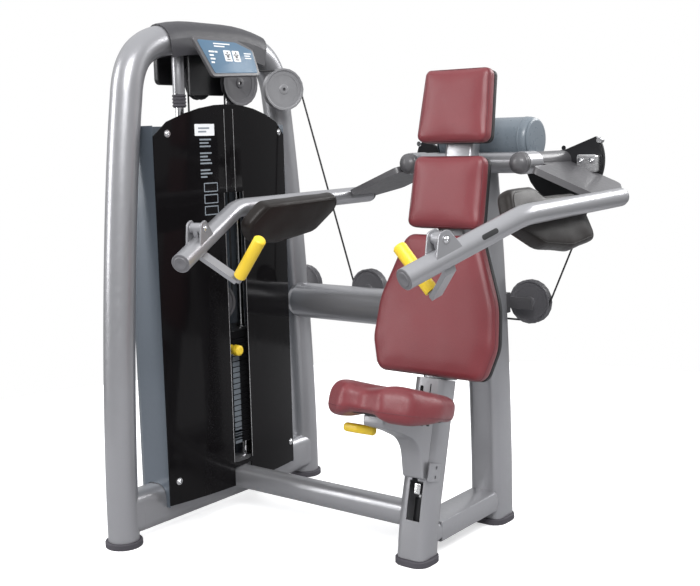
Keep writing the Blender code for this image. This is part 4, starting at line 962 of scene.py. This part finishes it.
def hollow_rings(radius, inner, ribs, pitch):
    """Ribbed sleeve with a bore, as a closed turned ring."""
    outer = []
    for n in range(ribs):
        z = -pitch * n
        outer += [(radius * 0.9, z), (radius, z - pitch * 0.15), (radius, z - pitch * 0.6),
                  (radius * 0.88, z - pitch * 0.8)]
    end = -pitch * ribs
    return [(inner, 0.0), *outer, (radius * 0.86, end), (inner, end), (inner, 0.0)]


def build_rod_trim():
    """Rubber bumper above and rubber spring below on each guide rod."""
    for y, rod in zip(ROD_Y, ("front", "rear")):
        for name, radius, ribs, pitch, z in (("bumper", 0.0205, 4, 0.0095, 1.291),
                                             ("spring", 0.022, 3, 0.0085, 0.2035)):
            sleeve = hollow_rings(radius, 0.0129, ribs, pitch)
            turned(f"rod_{name}_{rod}", sleeve, UP, (TOWER_X, y, z), "rubber", "frame", 36)


def build_foot_caps():
    for node in FEET:
        skin(node, 0.003, segments=3)


# ---------------------------------------------------------------- arms and their dressing
ARM_TIP = Vector((0.331, -0.518, 0.858))       # the right arm's centre line: front end, bend and rear end
ARM_BEND = Vector((0.436, -0.200, 0.972))
ARM_END = Vector((0.415, 0.372, 0.980))
DRUM_CENTRE = (0.411, 1.137)
PIVOT_X = 0.180
PIVOT_Z = 1.075
CAM_RADIUS = 0.125             # centre line of the cable on the cams
CABLE_RADIUS = 0.003
CABLE_PLANE = {"left": 0.486, "right": 0.515}
CABLE_TOUCH = {"left": -39.0, "right": -23.0}   # degrees up from outward where each cable meets its cam
ANCHOR_ANGLE = 26.0
ARM_LIFT = 80.0
WHEELS = ("head_pulley", "crown_pulley", "rear_head_pulley", "corner_pulley", "lower_pulley", "mid_pulley",
          "column_pulley_left", "column_pulley_right")


def filleted(corners, radii, steps):
    """Polyline through 3D corners with arcs of the given radii."""
    made = []
    for index, here in enumerate(corners):
        radius = radii[index]
        if not radius:
            made.append(here)
            continue
        before = (corners[index - 1] - here).normalized()
        after = (corners[index + 1] - here).normalized()
        half = before.angle(after) / 2.0
        reach = radius / math.tan(half)
        centre = here + (before + after).normalized() * (radius / math.sin(half))
        first = (here + before * reach - centre).normalized()
        last = (here + after * reach - centre).normalized()
        made += [centre + first.slerp(last, step / steps) * radius for step in range(steps + 1)]
    return made


def sided(point, way):
    return Vector((way * point.x, point.y, point.z))


def handle_axes(way):
    """Directions forward along the arm's end, across it and up from it."""
    forward = (sided(ARM_TIP, way) - sided(ARM_BEND, way)).normalized()
    across = forward.cross(UP).normalized()
    return forward, across, across.cross(forward).normalized()


def build_clevis(side, way):
    """Two rounded triangular cheeks on the tube with the lever's hub between them on a pin."""
    forward, across, up = handle_axes(way)
    pivot = sided(ARM_TIP, way) - forward * 0.116 + up * 0.0430
    outline = rounded([(-0.042, -0.040), (0.042, -0.040), (0.013, 0.019), (-0.013, 0.019)],
                      [0.004, 0.004, 0.013, 0.013], 8)
    for cheek, name in ((-1, f"{side}_in"), (1, f"{side}_out")):
        plate(f"clevis_cheek_{name}", [outline], (0.005, 0.0009, 2), "silver_paint", f"arm_{side}",
              frame_at(pivot + across * (cheek * 0.0190), forward, up, forward.cross(up)))
        bolt(f"clevis_bolt_{name}", pivot + across * (cheek * 0.0217), across * cheek, 0.0075, f"arm_{side}",
             "chrome", 0.004)


def build_arm_tubes():
    """Finely bent tube, its clevis, and a near-black plate as painted shade in the slot in its outer side."""
    for side, way in SIDES.items():
        path = [sided(point, way) for point in filleted([ARM_TIP, ARM_BEND, ARM_END], [0.0, 0.140, 0.0], 16)]
        show(f"arm_tube_{side}_fine", line_mesh(path, 0.0246, sides=10), "silver_paint", f"arm_{side}",
             replaces=(f"arm_tube_{side}",), angle=50.0)
        build_clevis(side, way)
        run = (path[1] - path[0]).normalized()
        side_way = run.cross(UP).normalized()
        top = side_way.cross(run).normalized()
        face = (Vector((way * 0.9, 0.0, 0.0)) + top * 0.35).normalized()
        cross = run.cross(face).normalized()
        face = cross.cross(run).normalized()
        middle = path[0] + run * 0.232 + face * 0.0228
        place = frame_at(middle, run, face.cross(run), face)
        # painted shade: a thin near-black plate on the tube's outer side stands for the shade inside the slot
        plate(f"arm_slot_shade_{side}", [rectangle(0.048, 0.012, 0.006, steps=6)], (0.0045, 0.0006, 2), BOARD_AND_SLOT_SHADE,
              f"arm_{side}", place, slot="black_steel")


def build_arm_trim():
    """Plug in each arm's front end, cap on its pivot, and the cam's bolt and screws."""
    plug = [(0.0, 0.0022), (0.006, 0.0022), (0.0075, 0.0030), (0.016, 0.0030), (0.0175, 0.0014),
            (0.0230, 0.0014), (0.0232, 0.0), (0.0, 0.0)]
    cap = [(0.0, 0.0045), (0.020, 0.0040), (0.0275, 0.0018), (0.029, 0.0), (0.0, 0.0)]
    for side, way in SIDES.items():
        body = f"arm_{side}"
        turned(f"arm_plug_{side}", plug, handle_axes(way)[0], sided(ARM_TIP, way), "pulley_plastic", body)
        front = box_of(f"arm_link_{side}")[0].y - 0.0002
        point = Vector((way * PIVOT_X, front, PIVOT_Z))
        turned(f"arm_cap_{side}", cap, (0, -1, 0), point, "dark_grey_paint", body)
        bolt(f"arm_cap_bolt_{side}", point + Vector((0, -0.0038, 0)), (0, -1, 0), 0.009, body)
        hub = Vector((way * PIVOT_X, box_of(f"cam_{side}")[1].y + 0.0002, PIVOT_Z))
        bolt(f"cam_bolt_{side}", hub, (0, 1, 0), 0.012, body)
        for degrees in (35, 95, 155):
            angle = math.radians(degrees)
            spot = hub + Vector((way * math.cos(angle), 0, math.sin(angle))) * 0.035
            bolt(f"cam_screw_{degrees}_{side}", spot, (0, 1, 0), 0.005, body, "black_steel")


def build_wheel_trim():
    """Raised ring on both faces of every pulley."""
    for node in WHEELS:
        axis = Vector(JOINTS[f"{node}_turn"]["axis"]).normalized()
        low, high = box_of(node)
        centre = (low + high) / 2.0
        tree = tree_of(node)
        radius = max(high - low) / 2.0
        for across, name in ((axis, "a"), (-axis, "b")):
            side = across.orthogonal().normalized()
            rim, hub = [tree.ray_cast(centre + across * 0.2 + side * reach, -across)[0]
                        for reach in (radius * 0.80, 0.018)]
            if hub is None or rim is None:
                continue
            face = centre + across * ((rim - centre).dot(across))
            ring = [(radius * 0.70, 0.0), (radius * 0.70, 0.0010), (radius * 0.86, 0.0012),
                    (radius * 0.88, 0.0), (radius * 0.70, 0.0)]
            turned(f"{node}_rim_{name}", ring, across, face, SLOT_OF[node], f"{node}_wheel", 48)


def cable(name, points, sides, body, replaces=()):
    return show(name, line_mesh(points, CABLE_RADIUS, sides=sides), "coated_cable", body, replaces=replaces,
                angle=60.0)


def build_cables():
    """The bight over the floating pulley rides with the stack; its two falls shorten as it rises."""
    right, left = (Vector((*FALLS[side], LOOP_SPLIT)) for side in ("right", "left"))
    centre = (right + left) / 2.0
    across = left - right
    reach = across.length / 2.0
    across.normalize()
    start_z = box_of("cable_loop")[0].z + CABLE_RADIUS + reach
    angles = [math.pi * n / 24 for n in range(25)]
    points = [centre + across * reach * math.cos(a) + UP * (start_z - centre.z - reach * math.sin(a))
              for a in angles]
    cable("cable_bight", points, 5, "stack", ("cable_loop",))
    count = 28
    for name, top in LOOP_TOPS.items():
        length = top - start_z
        points = [(*FALLS[name], start_z + length * n / count) for n in range(count + 1)]
        item = cable(f"cable_fall_{name}", points, 5, "frame", ("cable_loop",))
        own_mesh(item)


def build_wound_cable():
    """Stretch of cable in each cam's rim, long enough for the arm's whole lift, and its anchor."""
    anchor = [(0.0, 0.011), (0.007, 0.011), (0.0085, 0.009), (0.0085, -0.009), (0.007, -0.011), (0.0, -0.011)]
    count = 36
    for side, way in SIDES.items():
        start = CABLE_TOUCH[side] - ARM_LIFT
        points = []
        for n in range(count + 1):
            angle = math.radians(start + (ANCHOR_ANGLE - start) * n / count)
            points.append((way * (PIVOT_X + CAM_RADIUS * math.cos(angle)), CABLE_PLANE[side],
                           PIVOT_Z + CAM_RADIUS * math.sin(angle)))
        cable(f"cable_wound_{side}", points, 4, f"arm_{side}")
        turned(f"cable_anchor_{side}", anchor, (0, 1, 0), points[-1], "chrome", f"arm_{side}", 28)


def build_drum_trim():
    """Raised band near each end of the spring drum and a domed face on the end."""
    band = [(0.0632, 0.0), (0.0638, 0.0012), (0.0638, 0.0050), (0.0632, 0.0062), (0.0600, 0.0062),
            (0.0600, 0.0), (0.0632, 0.0)]
    face = [(0.0, 0.0030), (0.050, 0.0028), (0.056, 0.0018), (0.058, 0.0), (0.0, 0.0)]
    low, high = box_of("pivot_housing")
    for way, name, x in ((1, "right", high.x), (-1, "left", low.x)):
        end = Vector((x, *DRUM_CENTRE))
        inward = Vector((way * -0.030, 0, 0))
        turned(f"drum_band_{name}", band, (way, 0, 0), end + inward, "slate_plastic", "frame", 72)
        turned(f"drum_face_{name}", face, (way, 0, 0), end, "slate_plastic", "frame", 72)


def build_post_trim():
    """Black sheets as painted shade in the two grooves down the seat post's face, and the clevis in its window.
    """
    face = frame_at(post_line(0.440) + POST_OUT * 0.0452, (1, 0, 0), POST_UP, POST_OUT)
    # painted shade: thin black gloss sheets on the post's face stand for the shade inside its two grooves
    for name, shape in (("post_groove_shade", rectangle(0.010, 0.058, 0.003, (-0.014, 0.0), 4)),
                        ("post_line", rectangle(0.003, 0.082, 0.001, (0.014, -0.004), 3))):
        printed(name, [shape], face, "frame", FINISH["black_gloss_panel"], 0.0006, "black_steel")
    clevis = post_line(0.198) + POST_OUT * 0.030 + Vector((0.006, 0, 0))
    plate("spring_clevis", [rectangle(0.020, 0.030, 0.004, steps=4)], (0.016, 0.002, 2), BRIGHT_STEEL_AND_HIGHLIGHT,
          "frame", frame_at(clevis, (1, 0, 0), POST_UP, POST_OUT), slot="chrome")


def build_welds():
    """Rounded ends that close the base beams against the posts they are welded to."""
    for node, width, height, corner in (("tower_base_beam", 0.0844, 0.1194, 0.030),
                                        ("base_long_tube", 0.0894, 0.0574, 0.020)):
        low, high = box_of(node)
        middle = (low + high) / 2.0
        for name, y in (("rear", high.y), ("front", low.y)):
            plate(f"{node}_weld_{name}", [rectangle(width, height, corner, steps=8)], (0.060,),
                  "silver_paint", "frame", frame_at((middle.x, y, middle.z), *FACING_FRONT))


def build_rod_sleeves():
    """Satin sleeves over the guide rods' tops."""
    profile = [(0.0176, 1.402), (0.0179, 1.400), (0.0179, 1.296), (0.0172, 1.2925), (0.0130, 1.2925),
               (0.0130, 1.402), (0.0176, 1.402)]
    for y, name in zip(ROD_Y, ("front", "rear")):
        turned(f"rod_sleeve_{name}", profile, UP, (TOWER_X, y, 0.0), "silver_paint", "frame", 36)


def build_rear_box():
    """Rounded black cover behind the head pulley."""
    plate("rear_box", [rectangle(0.160, 0.098, 0.016, steps=6)], (0.020, 0.004, 3), "black_steel", "frame",
          frame_at((-0.853, -0.006, 1.372), *FACING_X))


def build_fold_highlights():
    """Thin bright lines as painted highlights on the edges of the fold that runs down the middle of the shield
    to the slot and along it.
    """
    count = 24
    fold = (1.246, 1.002)
    slot = (1.000, 0.170)
    lines = ((0.008, fold), (0.046, fold), (-0.0030, slot), (0.0790, slot))
    for index, (y, (top, bottom)) in enumerate(lines):
        spots = [shield_point(y, top + (bottom - top) * n / count) for n in range(count + 1)]
        # painted highlight: bright steel lines laid on the black shield stand for light caught by the fold's
        # edges
        highlight_line = line_mesh([spot + normal * 0.0002 for spot, normal in spots], 0.0008)
        show(f"shield_fold_highlight_{index}", highlight_line, BRIGHT_STEEL_AND_HIGHLIGHT, "frame", slot="chrome", angle=60.0)


def seat_place(x, forward, up):
    return SEAT_ORIGIN + Vector((x, 0.0, 0.0)) + POST_OUT * forward + POST_UP * up


def build_seat_metal():
    """Smoothly curved pressed gusset, near-black plates as painted shade in its slots, the tab on its leg and
    the yellow release paddle.
    """
    outline = rounded([(0.0006, 0.0115), (0.236, 0.0115), (0.236, -0.018), (0.150, -0.030), (0.058, -0.052),
                       (0.022, -0.150), (0.0006, -0.152)], [0.0, 0.006, 0.012, 0.14, 0.085, 0.010, 0.0], 12)
    beside = (POST_OUT, POST_UP, (1, 0, 0))
    plate("seat_gusset", [outline], (0.066, 0.005, 4), "silver_paint", "seat",
          frame_at(seat_place(0.005, 0.0, 0.0), *beside), replaces=("seat_bracket",))
    # painted shade: thin near-black plates on the gusset stand for the shade inside its four slots
    for n in range(4):
        spot = seat_place(0.0384, 0.030 + 0.030 * n, -0.004)
        plate(f"gusset_slot_shade_{n}", [rectangle(0.014, 0.007, 0.0034, steps=4)], (0.0012, 0.0002, 1), BOARD_AND_SLOT_SHADE,
              "seat", frame_at(spot, *beside), slot="black_steel")
    tab = [rectangle(0.056, 0.050, 0.006, steps=5)]
    holes = [circle_points(0.0050, (-0.006, height)) for height in (-0.013, 0.013)]
    plate("seat_tab", tab + holes, (0.004, 0.0005, 1), "silver_paint", "seat",
          frame_at(seat_place(0.0478, -0.016, -0.130), *beside))
    paddle = rounded([(0.002, -0.009), (0.044, -0.016), (0.088, -0.012), (0.102, 0.004), (0.090, 0.020),
                      (0.046, 0.022), (0.018, 0.014), (0.002, 0.010)],
                     [0.004, 0.03, 0.02, 0.012, 0.02, 0.03, 0.02, 0.004], 7)
    pivot = seat_place(-0.0290, 0.172, -0.034)
    plate("lever_paddle", [paddle], (0.024, 0.010, 5), "yellow_plastic", "seat_release",
          frame_at(pivot, (-1, 0, 0), POST_OUT, POST_UP), replaces=("seat_lever",))
    stem = [(0.0, 0.022), (0.0065, 0.021), (0.0075, 0.016), (0.0085, 0.004), (0.0, 0.0)]
    foot = seat_place(-0.050, 0.172, -0.030)
    turned("lever_stem", stem, POST_UP, foot, "yellow_plastic", "seat_release", 24)


def circle_points(radius, centre, count=20):
    turns = [-2 * math.pi * n / count for n in range(count)]
    return [(centre[0] + radius * math.cos(a), centre[1] + radius * math.sin(a)) for a in turns]


def build_cam_clamps():
    """Bright clamp with two bolts where each link meets its cam, and studs on the elbow pads."""
    for side, way in SIDES.items():
        body = f"arm_{side}"
        spot = Vector((way * 0.266, box_of(f"cam_{side}")[0].y - 0.0135, 1.066))
        plate(f"cam_clamp_{side}", [rectangle(0.062, 0.050, 0.008, steps=6)], (0.026, 0.003, 3), BRIGHT_STEEL_AND_HIGHLIGHT,
              body, frame_at(spot, *FACING_FRONT), slot="chrome")
        for n, offset in enumerate((-0.016, 0.016)):
            head = spot + Vector((offset, -0.0132, 0.008))
            bolt(f"cam_clamp_bolt_{side}_{n}", head, (0, -1, 0), 0.0070, body)
        place = elbow_frame(side)
        for n, x in enumerate((0.055, 0.115)):
            for face in (-1, 1):
                axis = place.to_3x3() @ Vector((0, 0, face))
                if axis.x * way > 0:
                    stud = place @ Vector((x, 0.075, face * (ELBOW_THICK / 2.0)))
                    bolt(f"elbow_stud_{side}_{n}", stud, axis, 0.0085, body, "chrome", 0.006)


FEET = ("tower_foot_front", "tower_foot_rear", "rear_post_foot", "seat_post_foot")
REBUILT = {"tower_upright_front", "tower_upright_rear", "cable_loop", "instruction_board", "seat_pad",
           "elbow_pad_left", "elbow_pad_right", "arm_tube_left", "arm_tube_right", "seat_bracket",
           "seat_lever", *BACK_PADS}
FINE = {"guide_rod_front", "guide_rod_rear", "cable_left", "cable_right", "selector_pin", "gas_spring_rod",
        "gas_spring_body"}
THIN = {"weight_stack", "lifted_plates", "front_shield", "stack_shroud", "top_cover"}


def paint_frame():
    """Soft-edged skins for every hard node that isn't rebuilt, and finishes for all."""
    for node, item in NODES.items():
        item.data.materials.clear()
        item.data.materials.append(FINISH[SLOT_OF[node]])
        if node in REBUILT or node in FEET:
            continue
        if node in FINE:
            skin(node, 0.0)
        elif node in THIN:
            skin(node, 0.0005, segments=1)
        else:
            skin(node)


build_camera()
build_world()
build_lights()
build_floor()
paint_frame()
build_uprights()
build_back_pads()
build_seat()
build_elbow_pads()
build_sign()
build_shield_bolts()
build_shield_print()
build_stack_marks()
build_rod_trim()
build_foot_caps()
build_arm_tubes()
build_arm_trim()
build_wheel_trim()
build_cables()
build_wound_cable()
build_drum_trim()
build_post_trim()
build_welds()
build_rod_sleeves()
build_rear_box()
build_fold_highlights()
build_seat_metal()
build_cam_clamps()
